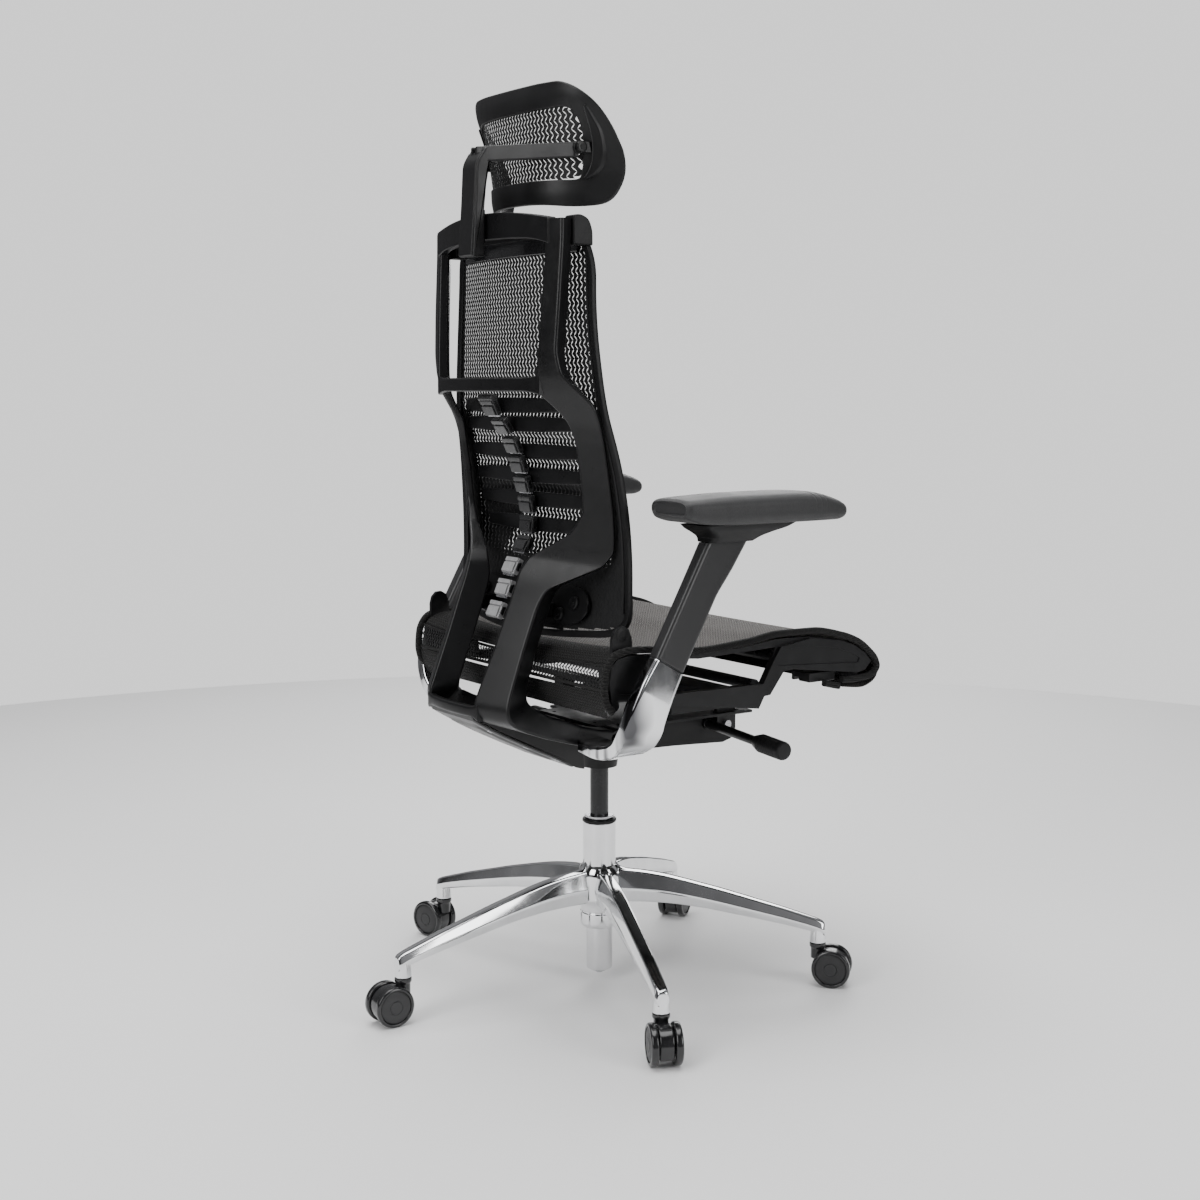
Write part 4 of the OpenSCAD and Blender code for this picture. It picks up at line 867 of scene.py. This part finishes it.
def spine():
    p, d, c, g = Piece(), Piece(), Piece(), Piece()
    low = sorted(LINK_Z)[:3]
    for k, z in enumerate(LINK_Z):
        y = float(interp(z, SPINE))
        a = math.atan2(interp(z + 8, SPINE) - interp(z - 8, SPINE), 16)
        w = np.array([0, math.sin(a), math.cos(a)])
        n = np.array([0, math.cos(a), -math.sin(a)])
        o = np.array([0, y - 6, z])
        # stepped body: broad plate, narrower waist, raised lip at the upper end
        for (h0, h1, hw, y0, y1) in ((-12.2, 12.2, 16.8, -5.8, 3.2), (-11, 4, 14.4, 3.0, 6.0), (5.6, 12, 16.2, 3.0, 5.2)):
            q = [o + w * h0, o + w * h1]
            rings = []
            for s in (-hw, hw):
                rings.append(round_poly([o + w * h0 + n * y0, o + w * h1 + n * y0, o + w * h1 + n * y1, o + w * h0 + n * y1], 1.6, 2) + [s, 0, 0])
            # the three lowest links go into the lighter piece, a painted highlight
            (g if z in low else p).loft(ends(rings, 1.6))
        for s in (-1, 1):
            rings = [round_poly([o + w * -7 + n * -3, o + w * 7 + n * -3, o + w * 5 + n * 2, o + w * -5 + n * 2], 1.2, 2) + [s * e, 0, 0] for e in (16.4, 18.6)]
            d.loft(ends(rings, 1))
        # joint pins between links
        if k < len(LINK_Z) - 1:
            c.lathe([[0.4, -15], [2, -15], [2, 15], [0.4, 15]], o - w * 13.4 + n * -1.5, [1, 0, 0], 16)
    p.lathe([[0.5, -19], [5, -19], [6, -18], [6, 18], [5, 19], [0.5, 19]], [0, 193, 893.4], [1, 0, 0], 36)
    p.make("spine_link_bodies", "link", "spine", ["spine_links"], "grey_plastic", sharp=40)
    g.make("spine_link_low_painted_highlight", "link_painted_highlight", "spine", (), "grey_plastic", sharp=40)
    d.make("spine_link_tabs", "black_dark", "spine", (), "black_plastic", sharp=40)
    c.make("spine_link_pins", "steel", "spine", (), "steel", sharp=40)
    r = Piece()
    for z, xe in RIBS:
        ys = float(interp(z, SPINE)) - 13.8 - abs(float(interp(z + 11, SPINE) - interp(z - 11, SPINE))) / 2
        ye = float(sheet_y(xe, z)) + 9
        rings = []
        for x in np.linspace(-xe, xe, 49):
            t = abs(x) / xe
            y = ys + (ye - ys) * t ** 1.3
            hh = 11.2 - 2.6 * t ** 3
            th = 1.9 - 0.5 * t
            rings.append(round_poly([[x, y - 3.4, z - hh], [x, y - 3.4 + 2 * th, z - hh + 0.6], [x, y + 0.0, z], [x, y - 3.4 + 2 * th, z + hh - 0.6], [x, y - 3.4, z + hh]], [1.2, 1.2, 5, 1.2, 1.2], 2))
        r.loft(ends(rings, 3))
    r.make("spine_rib_blades", "black", "spine", ["spine_ribs"], "black_plastic", sharp=44)


spine()


def plate_y(x, z):
    return sheet_y(x, z) + 9


def pelvic():
    ph = [[0, 32], [60, 29], [95, 25.5], [121, 25], [136, 20.5], [145, 12.5], [149, 5]]
    p = Piece()
    rings = []
    for x in np.r_[-148.8, np.linspace(-147, 147, 61), 148.8]:
        h = float(interp(abs(x), ph))
        zs = 602 + h * np.linspace(-1, 1, 9)
        rear = np.c_[np.full(9, x), plate_y(x, zs), zs]
        rim = 0.6 if abs(x) < 148 else 1.4
        rear[[0, -1], 1] -= rim
        front = rear[::-1] - [0, 3.8, 0]
        front[[0, -1], 1] += 2 * rim
        rings.append(np.concatenate([rear, front]))
    p.loft(rings)
    for s in (-1, 1):
        rings = [rect([s * 70, y, 593], [1, 0, 0], [0, 0, 1], 6.8, 10.6, 3, 3) for y in (131, 166)]
        p.loft(rings)
        # raised guide ribs on the rear face
        for x0, x1, z in ((20, 56, 590), (20, 56, 612)):
            rings = [rect([s * x, float(plate_y(x, z)) + 0.6, z], [0, 1, 0], [0, 0, 1], 1.6, 2.4, 1, 2) for x in np.linspace(x0, x1, 6)]
            p.loft(rings)
    p.make("pelvic_plate", "black_dark", "back", ["pelvic_support"], "black_plastic", sharp=44)
    k = Piece()
    for s in (-1, 1):
        for x, z in ((120, 606), (92, 588)):
            n = unit([s * (plate_y(x - 4, z) - plate_y(x + 4, z)) / 8, 1, (plate_y(x, z - 12) - plate_y(x, z + 12)) / 24])
            o = np.array([s * x, float(plate_y(x, z)), z]) + n * 0.5
            k.lathe([[0.4, 5.4], [3, 5.4], [3.4, 4.3], [8.2, 4.1], [9.3, 3.3], [9.9, 1.4], [9.9, 0], [0.4, 0]], o, n, 40)
    k.make("pelvic_knob_caps", "black", "back", ["pelvic_knobs"], "black_plastic", sharp=44)


pelvic()

# ------------------------------------------------------------------ headrest
HEAD_MID = np.array([[1155, 149], [1222, 152.5], [1322, 155]], float)


def head_y_at(x, z):
    return np.interp(z, HEAD_MID[:, 0], HEAD_MID[:, 1]) - (123 - 0.539 * (z - 1155)) * (np.abs(x) / 154.5) ** 3


HEAD_OUT = [[0, 1322], [45, 1322], [90, 1322.5], [113, 1321], [134, 1311], [150, 1291], [156.5, 1252], [154, 1216], [145, 1186], [131, 1162], [110, 1156.5], [60, 1160], [0, 1161.5]]
HEAD_IN = [[0, 1287], [45, 1287], [85, 1287.5], [106, 1288], [117, 1285], [123.5, 1274], [125.5, 1250], [121, 1222], [116, 1203], [111, 1193], [93, 1192.5], [50, 1193.4], [0, 1193.5]]


def headrest():
    o4 = np.c_[np.array(HEAD_OUT, float), np.array(HEAD_IN, float)]
    o4 = np.concatenate([o4, o4[11:0:-1] * [-1, 1, -1, 1]])
    d = smooth_closed(o4, 220, 4)
    p = Piece()
    rings = []
    for xo, zo, xi, zi in d:
        xo = float(np.clip(xo, -156.2, 156.2))
        zo = min(zo, 1322.3)
        o = np.array([xo, float(head_y_at(xo, zo)), zo])
        i = np.array([xi, float(head_y_at(xi, zi)), zi])
        t = (abs(xo) / 156.5) ** 2
        n = np.array([-np.sign(xo) * 5 * t, -8 + 3 * t, 0])
        m = (o + i) / 2
        rings.append(round_poly([o, m + [0, 2.5, 0], i, i + [0, -7, 0], m + [0, -6, 0], o + n], [2.6, 18, 2.4, 2, 18, 2.6], 4))
    p.loft(rings, ring=True)
    p.make("headrest_surround", "grey", "headrest", ["headrest_frame"], "black_plastic", sharp=50)

    lo = [[0, 1196], [93, 1195.5], [108, 1198], [113, 1204], [118, 1213], [122, 1226], [126, 1243]]
    hi = [[0, 1284.5], [85, 1285], [104, 1285], [113, 1283], [118, 1280], [122, 1276], [126, 1258]]
    pit = 7.4
    ob, area = open_mesh(lambda j, z: j * pit + 0 * z, lambda x, z: head_y_at(x, z) - 4, lambda j: float(interp(abs(j * pit), lo)) - 5, lambda j: float(interp(abs(j * pit), hi)) + 5,
                         range(-17, 18), pit, 12.4, pit * 0.86, "headrest", "headrest_open_mesh", ["headrest_mesh"])
    max(area, 0.0082)

    # crescent ribs over the wings, a lighter strip along their inner edge as a painted edge highlight, and the ears on
    # the pins
    ro = arr([1192, 122], [1198, 128.6], [1211, 137.5], [1230, 143], [1256, 145.8], [1275, 143.5], [1288, 141])
    ri = arr([1192, 119.5], [1204, 126.5], [1217, 131.5], [1243, 136.7], [1262, 138.3], [1288, 139])
    b, edge_highlight_strip = Piece(), Piece()
    zs = np.linspace(1192, 1288, 48)
    xo, xi = -pchip(ro[:, 0], ro[:, 1], zs), -pchip(ri[:, 0], ri[:, 1], zs)
    rings, edge_highlight_rings = [], []
    for k, z in enumerate(zs):
        yi, yo = float(head_y_at(xi[k], z)), float(head_y_at(xo[k], z))
        rings.append(round_poly([[xi[k], yi - 1, z], [xo[k], yo - 1, z], [xo[k], yo + 5.6, z], [xi[k], yi + 5.6, z]], [0.5, 0.5, 1.6, 1.6], 3))
        # painted highlight: a thin strip of lighter plastic along the rib's inner rear edge
        edge_highlight_rings.append(rect([xi[k] + 0.2, yi + 5.2, z], [1, 0, 0], [0, 1, 0], 0.75, 0.75, 0.7, 2))
    b.loft(ends(rings, 1.2))
    edge_highlight_strip.loft(edge_highlight_rings[1:-1])
    b.lathe([[4.1, 0], [7.4, 0], [8, 0.6], [8, 4.9], [7.4, 5.5], [4.1, 5.5]], [-132.5, 119, 1233.5], [1, 0, 0], 40, closed=True)
    b.plate(round_poly([[101, 1226], [119, 1226], [119, 1241], [101, 1241]], 2.5, 3), -132.4, -127.1, 0.8)
    b.lathe([[0.4, 2.3], [3.2, 2.3], [3.6, 1.5], [7.0, 1.4], [7.8, 0.7], [7.9, 0], [0.4, 0]], [-132.5, 119, 1233.5], [-1, 0, 0], 40)
    b.mirrored()
    b.make("headrest_ears", "black", "headrest", ["headrest_brackets"], "black_plastic", sharp=44)
    # the painted edge highlight strip, on both sides
    edge_highlight_strip.mirrored()
    edge_highlight_strip.make("headrest_rib_painted_highlight", "sleeve", "headrest", (), "grey_plastic", sharp=60)

    q = Piece()
    q.plate(round_poly([[207.5, 1089], [226.3, 1089], [221.2, 1161], [218.4, 1217], [203.5, 1240.8], [193, 1241], [193, 1219], [201, 1210], [207.5, 1150]], [2, 3, 20, 10, 9, 2, 4, 6, 10], 5), -20.5, 20.5, 2.6)
    q.plate(round_poly([[222, 1090.2], [229, 1090.2], [223.6, 1161], [220.6, 1217], [210, 1233.5], [206, 1230]], [1.5, 3, 20, 10, 5, 2], 5), -18.2, 18.2, 1.8)
    for s in (-1, 1):
        rows = dense([[-4, 206, 16], [-15, 201, 10], [-60, 168.4, 8], [-100, 139.4, 8], [-118, 126.4, 8], [-124, 122, 8]], 40, 2)
        q.loft(ends([round_poly([[s * x, y + w / 2, 1219.2], [s * x, y + w / 2, 1240.8], [s * x, y - w / 2, 1240.8], [s * x, y - w / 2, 1219.2]], 3, 3) for x, y, w in rows], 3))
        q.lathe([[4.1, -3], [8.3, -3], [9, -2.3], [9, 2.3], [8.3, 3], [4.1, 3]], [s * 123, 119, 1233.5], [1, 0, 0], 40, closed=True)
    q.make("headrest_stem", "grey", "head_post", ["headrest_post"], "black_plastic", sharp=44)
    frame["nodes"]["headrest_pins"].data.materials.clear()
    frame["nodes"]["headrest_pins"].data.materials.append(M["black_dark"])
    cad_copy("headrest_guide", "black_dark", 0.8)


headrest()

# ------------------------------------------------------------------ arms
LEAN = math.radians(29)
AL = np.array([0, -math.sin(LEAN), math.cos(LEAN)])
AW = np.array([0, math.cos(LEAN), math.sin(LEAN)])
ARM_O = np.array([-289.5, 90, 537])
UP = 5


def arms():
    rows = [[[-117.6, 96, 400], [0, 1, 0], [0, 0, -1], 23, 9], [[-160, 104, 401], [0, 1, 0], [0, 0, -1], 24, 9.5], [[-205, 114, 407], [0, 1, 0], [-0.17, 0, -0.98], 25, 10],
            [[-245, 122, 419], [0, 1, 0], [-0.42, 0, -0.91], 27, 10.5], [[-273, 126, 440], [0, 0.98, 0.2], [-0.75, 0, -0.66], 29, 11],
            [[-286, 124, 466], [0, 0.92, 0.38], [-0.95, 0, -0.3], 30, 11], [[-289.5, 113, 496], AW.tolist(), [-1, 0, 0], 29, 11], [ARM_O.tolist(), AW.tolist(), [-1, 0, 0], 26, 11]]
    flat = [r[0] + unit(r[1]).tolist() + unit(r[2]).tolist() + [r[3], r[4]] for r in rows]
    d = dense(flat, 110, 3)
    p = Piece()
    rings = [rect(r[:3], unit(r[3:6]), unit(r[6:9]), r[9], r[10], 5.5, 5) for r in d]
    p.loft(ends(rings, 2))
    p.mirrored()
    p.make("arm_j_brackets", "chrome_arm_painted_reflections", "back", ["arm_brackets"], "polished_metal", sharp=44)
    cad_copy("arm_inner_posts", "steel", 0.8)

    tab = np.array([[0.6, 0, 26, 11], [60, 0, 26, 11], [110, 0, 26, 11], [150, -2.4, 28.4, 11.3], [187, -5, 31, 12], [214, -6.5, 32.5, 12]], float)
    ts = np.linspace(0.6, 160, 60)
    rows = np.c_[ts, pchip(tab[:, 0], tab[:, 1:], ts)]
    for side, s in (("right", 1), ("left", -1)):
        lift = AL * (UP if s < 0 else 0)
        flip = np.array([s, 1, 1], float)
        p = Piece()
        rings = [rect(ARM_O + AL * t + AW * sh, AW, [1, 0, 0], hw, th, 6.5, 5) for t, sh, hw, th in rows]
        top = rect(ARM_O + AL * 186 + AW * -5, AW, [1, 0, 0], 31, 12, 7, 5)
        z_top = 699.2
        top = top + AL * ((z_top - top[:, 2]) / AL[2])[:, None]
        last = rings[-1]
        for f in (0.3, 0.6, 0.85, 0.96):
            rings.append(last * (1 - f) + top * f)
        rings.append(top)
        rings = [(r + lift) * flip for r in ends(rings, 1.2, b=False)]
        p.loft(rings)
        p.make("arm_sleeve_" + side + "_shell", "sleeve", "sleeve_" + side, ["arm_sleeve_" + side], "grey_plastic", sharp=44)

        c = Piece()
        cr = dense([[699.9, 37, 20, -10], [706, 42, 24, -16], [712, 54, 28, -22], [718, 70, 32, -29], [724, 80, 34, -33]], 26, 1)
        c.loft([(rect([-289.5, r[3], r[0]], [0, 1, 0], [1, 0, 0], r[1], r[2], 11, 5) + lift) * flip for r in cr])
        c.lathe([[0.4, -1.2], [5, -1.2], [5.6, -0.6], [5.6, 0], [0.4, 0]], (np.array([-289.5, -62, 713]) + lift) * flip, [0, 0, -1], 24)
        c.make("pad_carrier_" + side + "_shell", "black_dark", "carrier_" + side, ["pad_carrier_" + side], "black_plastic", sharp=44)

        ptab = np.array([[0, 0.38, 740, 757], [8, 0.46, 734, 761], [36, 0.49, 727, 763.5], [100, 0.5, 724.4, 766], [180, 0.5, 724.4, 766.5], [235, 0.485, 724.4, 764],
                         [268, 0.44, 724.4, 756], [284, 0.39, 727, 749], [290, 0.34, 730, 743]], float)
        grooves = (222, 232, 242)
        st = sorted(set(np.round(np.r_[np.linspace(0, 12, 9), np.linspace(14, 276, 56), np.linspace(278, 290, 9), [g + k for g in grooves for k in (-1.8, -0.7, 0, 0.7, 1.8)]], 2)))
        pr = pchip(ptab[:, 0], ptab[:, 1:], np.array(st))
        y1 = 90 if s > 0 else 26
        rings = []
        for dd, (share, low, high) in zip(st, pr):
            cut = max([max(0, 1 - abs(dd - g) / 1.8) for g in grooves]) * 1.3
            w = share * 97
            hh = high - low
            P = [[-w * 0.88, low], [w * 0.88, low], [w, low + hh * 0.26], [w - cut * 0.2, low + hh * 0.74], [w * 0.78, high - hh * 0.07 - cut], [w * 0.35, high - cut],
                 [-w * 0.35, high - cut], [-w * 0.78, high - hh * 0.07 - cut], [-w + cut * 0.2, low + hh * 0.74], [-w, low + hh * 0.26]]
            sec = round_poly([[q[0], 0, q[1]] for q in P], [5, 5, 8, 9, 12, 16, 16, 12, 9, 8], 4)
            rings.append((sec + [-291.5, y1 - dd, 0] + lift) * flip)
        a = Piece()
        a.loft(ends(rings, 2.5))
        ob = a.make("arm_pad_" + side + "_cushion", "pad", "pad_" + side, ["arm_pad_" + side], "arm_pad_skin", sharp=70)


arms()

# ------------------------------------------------------------------ seat
MESH_LINE = [[150, 462], [162, 476], [168, 500], [167, 524], [158, 543], [145, 553], [124, 557], [76, 554], [5, 547], [-76, 550], [-136, 557], [-198, 556],
             [-257, 546.5], [-300, 536], [-330, 524], [-352, 509], [-361, 496], [-357, 482], [-344, 472], [-318, 466], [-270, 470]]
RIM_LINE = [[158, 470], [170, 484], [174, 504], [172, 528], [164, 546], [150, 557], [128, 561], [76, 558], [5, 551], [-76, 556], [-136, 563], [-198, 562.5],
            [-257, 551.5], [-288, 540], [-311, 524], [-327, 507], [-331, 495], [-324, 483], [-308, 476], [-270, 474], [-222, 483]]


def nose_y(x):
    x = np.abs(x)
    return np.where(x < 205, -365 + 7 * (x / 205) ** 2, -301 - np.sqrt(np.maximum(57 ** 2 - (np.minimum(x, 250) - 205) ** 2, 0)))


def seat_xyz(x, y, z):
    """Sheet position across the seat from its line in the side view."""
    f = (nose_y(x) + 230) / -131
    yy = np.where(y < -230, -230 + (y + 230) * f, y)
    sag = 10 * (1 - np.minimum(1, np.abs(x) / 245.5) ** 2) * np.clip((z - 490) / 40, 0, 1) * np.clip((y + 330) / 130, 0, 1)
    return yy, z - sag


def seat():
    line = dense(MESH_LINE, 150, 2)
    s = np.r_[0, np.cumsum(np.linalg.norm(np.diff(line, axis=0), axis=1))]
    xs = np.r_[-251.6, -249, np.linspace(-245, 245, 71), 249, 251.6]
    p = Piece()
    # cloth above the open rear band and below it
    band_top, band_low = 536, 505
    rear = np.arange(len(line)) < 40
    upper = ~(rear & (line[:, 1] < band_top))
    lower = rear & (line[:, 1] <= band_low)
    for keep in (upper, lower):
        idx = np.nonzero(keep)[0]
        V, UV = [], []
        for x in xs:
            yy, zz = seat_xyz(x, line[idx, 0], line[idx, 1])
            tuck = 2.2 * max(0, (abs(x) - 245) / 6.6) ** 1.5
            V.append(np.c_[np.full(len(idx), x), yy, zz - tuck])
            UV.append(np.c_[np.full(len(idx), x) * 0.001, s[idx] * 0.001])
        m, n = len(xs), len(idx)
        f = [(i * n + j, (i + 1) * n + j, (i + 1) * n + j + 1, i * n + j + 1) for i in range(m - 1) for j in range(n - 1)]
        p.add(np.concatenate(V), f, np.concatenate(UV))
    ob = p.make("seat_cloth", "seat", "seat", ["seat_mesh"], "seat_weave", weighted=False, recalc=False)
    ob.data.materials.append(M["seat_edge"])
    for f in ob.data.polygons:
        c = f.center
        f.material_index = 1 if c.y > 0.118 else 0

    # open band: zigzag strands down the rear curtain
    def y_of(x, z):
        y, zz = seat_xyz(x, np.interp(z, line[:40, 1][::1], line[:40, 0]), z)
        return y + 0.2

    def z0(j):
        return band_low - 3.0

    def z1(j):
        return band_top + 2.0 - 10 * (1 - (j / 33) ** 2)

    open_mesh(lambda j, z: j * 7.4 + 0 * z, lambda x, z: np.interp(z, line[:40, 1], line[:40, 0]) + 0.1 + 0 * x, z0, z1, range(-33, 34), 7.4, 9, 3.9, "seat", "seat_open_band", ())
    # binding tape along both edges of the band
    t = Piece()
    for zc, hz in ((band_top + 1, 2.2), (band_low - 1, 2.2)):
        rings = []
        for x in np.linspace(-250, 250, 60):
            drop = 10 * (1 - min(1, abs(x) / 245.5) ** 2) if zc > 520 else 0
            z = zc - drop
            y = float(np.interp(zc, line[:40, 1], line[:40, 0]))
            rings.append(rect([x, y + 0.6, z], [0, 1, 0], [0, 0, 1], 0.9, hz, 0.8, 2))
        t.loft(rings)
    t.make("seat_band_tape", "seat_edge", "seat", (), "seat_piping", sharp=60)

    # piped rims
    r = Piece()
    rim = dense(RIM_LINE, 170, 2)
    rs = np.r_[0, np.cumsum(np.linalg.norm(np.diff(rim, axis=0), axis=1))]
    rings, uv = [], []
    for i in range(len(rim)):
        tn = unit(rim[min(i + 1, len(rim) - 1)] - rim[max(i - 1, 0)])
        nin = np.array([tn[1], -tn[0]])
        c3 = np.array([rim[:, 0].mean(), 505])
        if np.dot(c3 - rim[i], nin) < 0:
            nin = -nin
        o = np.array([-257.3, *(rim[i] + nin * 4.9)])
        ring = rect(o, [1, 0, 0], [0, nin[0], nin[1]], 5.1, 4.9, 4.2, 4)
        rings.append(ring)
        k = len(ring)
        uv.append(np.c_[np.linspace(0, 0.032, k), np.full(k, rs[i] * 0.001)])
    r.loft(ends(rings, 2.5), uv=None)
    r.mirrored()
    # flat lengths for the weave: along the rim and round it
    k = len(rings[0])
    allv = np.concatenate(r.v)
    ang = np.arctan2(allv[:, 2] - 500, allv[:, 1] + 90)
    r.uvs = [np.c_[allv[:, 0] * 0.001 + allv[:, 2] * 0.0006, ang * 0.25]]
    r.make("seat_piped_rim", "seat_edge", "seat", ["seat_rim"], "seat_piping", sharp=60)

    cad_copy("seat_side_frames", "black", 0.9, seg=2)
    cad_copy("seat_cross_tubes", "tube", 0)
    cad_copy("seat_carrier", "grey", 0.9)
    cad_copy("front_clip", "grey", 1.2)
    cad_copy("depth_lever", "black", 1.0)
    cad_copy("mechanism_housing", "black_dark", 1.6)
    cad_copy("top_plate", "grey", 0.8)
    for node in ("pivot_shafts", "tilt_spring"):
        frame["nodes"][node].data.materials.clear()
        frame["nodes"][node].data.materials.append(M["steel"])
    # pivot caps on the uprights that meet the back
    c = Piece()
    for sx in (-1, 1):
        c.lathe([[0.4, 1.6], [4, 1.6], [4.6, 1.0], [8.4, 0.9], [9.4, 0.2], [9.4, -0.4], [0.4, -0.4]], [sx * 252, 136, 578], [sx, 0, 0], 40)
    c.make("upright_caps", "black_dark", "seat", (), "black_plastic", sharp=44)


seat()


def levers():
    ax = np.array([math.sin(math.radians(-94)), 0, math.cos(math.radians(-94))])
    o = np.array([-66.0, -146, 399])
    rod = [[0.4, -4], [7.4, -4], [8, -3.4], [8, 15.4], [7.4, 16], [7, 16.2], [7, 131], [7, 183], [0.4, 184]]
    grip = [[7.1, 129.9], [9, 130.2], [9.6, 131], [13.2, 141.6], [13.9, 143]]
    for k in range(9):
        z = 147 + 4.6 * k
        grip += [[13.95, z - 1.4], [13.3, z - 0.8], [13.3, z + 0.8], [13.95, z + 1.4]]
    grip += [[13.95, 190.5], [13.2, 193.6], [11.8, 195.6], [8, 196], [0.4, 196]]
    p = Piece()
    p.lathe(rod, o, ax, 40)
    p.make("lift_lever_rod", "black", "lever_right", ["lift_lever"], "black_plastic", sharp=40)
    g = Piece()
    g.lathe(grip, o, ax, 56)
    g.make("tension_grip_turned", "black_dark", "grip", ["tension_grip"], "black_plastic", sharp=30)
    q = Piece()
    q.lathe(rod, o * [-1, 1, 1], ax * [-1, 1, 1], 40)
    q.lathe(grip, o * [-1, 1, 1], ax * [-1, 1, 1], 56)
    q.make("tilt_lever_turned", "black", "lever_left", ["tilt_lever"], "black_plastic", sharp=30)


levers()


# ------------------------------------------------------------------ floor and light


def floor_material():
    n = Nodes("studio_floor")
    f = n.noise(1.2, 3, 0.5)
    g = n.noise(240, 3, 0.6)
    m = n.set(Base_Color=n.mix(f, (0.90, 0.90, 0.90), (0.93, 0.93, 0.93)), Roughness=n.ramp(g, 0.62, 0.75), Specular_IOR_Level=0.2)
    n.t.links.new(n.bump(g, 0.05, 0.0002), n.bsdf.inputs["Normal"])
    return m


me = bpy.data.meshes.new("studio_floor")
me.from_pydata([(2.9 * math.cos(2 * math.pi * i / 128), 2.9 * math.sin(2 * math.pi * i / 128), 0) for i in range(128)], [], [tuple(range(128))])
floor = bpy.data.objects.new("studio_floor", me)
me.materials.append(floor_material())
scene.collection.objects.link(floor)

world = bpy.data.worlds.new("studio")
scene.world = world
world.use_nodes = True
wt = world.node_tree
wt.nodes.clear()
wout = wt.nodes.new("ShaderNodeOutputWorld")
geo = wt.nodes.new("ShaderNodeTexCoord")
sep = wt.nodes.new("ShaderNodeSeparateXYZ")
wt.links.new(geo.outputs["Generated"], sep.inputs[0])
ramp = wt.nodes.new("ShaderNodeValToRGB")
ramp.color_ramp.elements[0].position, ramp.color_ramp.elements[0].color = 0.0, (0.35, 0.35, 0.36, 1)
ramp.color_ramp.elements[1].position, ramp.color_ramp.elements[1].color = 0.8, (0.85, 0.85, 0.87, 1)
wt.links.new(sep.outputs[2], ramp.inputs[0])
env = wt.nodes.new("ShaderNodeBackground")
env.inputs[1].default_value = 0.55
# dark flags between the soft boxes, which polished parts show as streaks
flags = wt.nodes.new("ShaderNodeValToRGB")
els = flags.color_ramp.elements
els[0].position, els[0].color = 0.0, (1, 1, 1, 1)
els[1].position, els[1].color = 1.0, (0.5, 0.5, 0.5, 1)
for at, v in ((0.16, 0.06), (0.30, 0.05), (0.38, 1.0), (0.47, 0.9), (0.53, 0.05), (0.66, 0.04), (0.74, 1.0), (0.83, 0.12), (0.93, 0.9)):
    e = els.new(at)
    e.color = (v, v, v, 1)
half_x = wt.nodes.new("ShaderNodeMapRange")
half_x.inputs["From Min"].default_value, half_x.inputs["From Max"].default_value = -1, 1
wt.links.new(sep.outputs[0], half_x.inputs["Value"])
wt.links.new(half_x.outputs["Result"], flags.inputs[0])
mul = wt.nodes.new("ShaderNodeMix")
mul.data_type, mul.blend_type = "RGBA", "MULTIPLY"
mul.inputs[0].default_value = 1.0
wt.links.new(ramp.outputs[0], mul.inputs[6])
wt.links.new(flags.outputs[0], mul.inputs[7])
wt.links.new(mul.outputs[2], env.inputs[0])
white = wt.nodes.new("ShaderNodeBackground")
white.inputs[0].default_value, white.inputs[1].default_value = (1, 1, 1, 1), 1.2
path = wt.nodes.new("ShaderNodeLightPath")
mixw = wt.nodes.new("ShaderNodeMixShader")
wt.links.new(path.outputs["Is Camera Ray"], mixw.inputs[0])
wt.links.new(env.outputs[0], mixw.inputs[1])
wt.links.new(white.outputs[0], mixw.inputs[2])
wt.links.new(mixw.outputs[0], wout.inputs[0])


def softbox(name, loc, target, size, power, size_y=None):
    d = bpy.data.lights.new(name, "AREA")
    d.shape = "RECTANGLE"
    d.size, d.size_y = size, size_y or size
    d.energy = power
    ob = bpy.data.objects.new(name, d)
    scene.collection.objects.link(ob)
    ob.location = loc
    ob.rotation_mode = "QUATERNION"
    ob.rotation_quaternion = (Vector(target) - Vector(loc)).to_track_quat("-Z", "Y")
    return ob


softbox("overhead", (0.2, 0.2, 3.4), (0, 0, 0.6), 3.4, 150)
softbox("key_left", (-0.9, 3.4, 2.1), (0, 0.1, 0.8), 1.8, 70, 2.4)
softbox("fill_right", (-3.4, -1.2, 1.7), (0, 0, 0.7), 1.6, 55, 2.2)
softbox("rim_front", (2.6, -2.6, 2.2), (0, 0, 0.8), 2.0, 60)
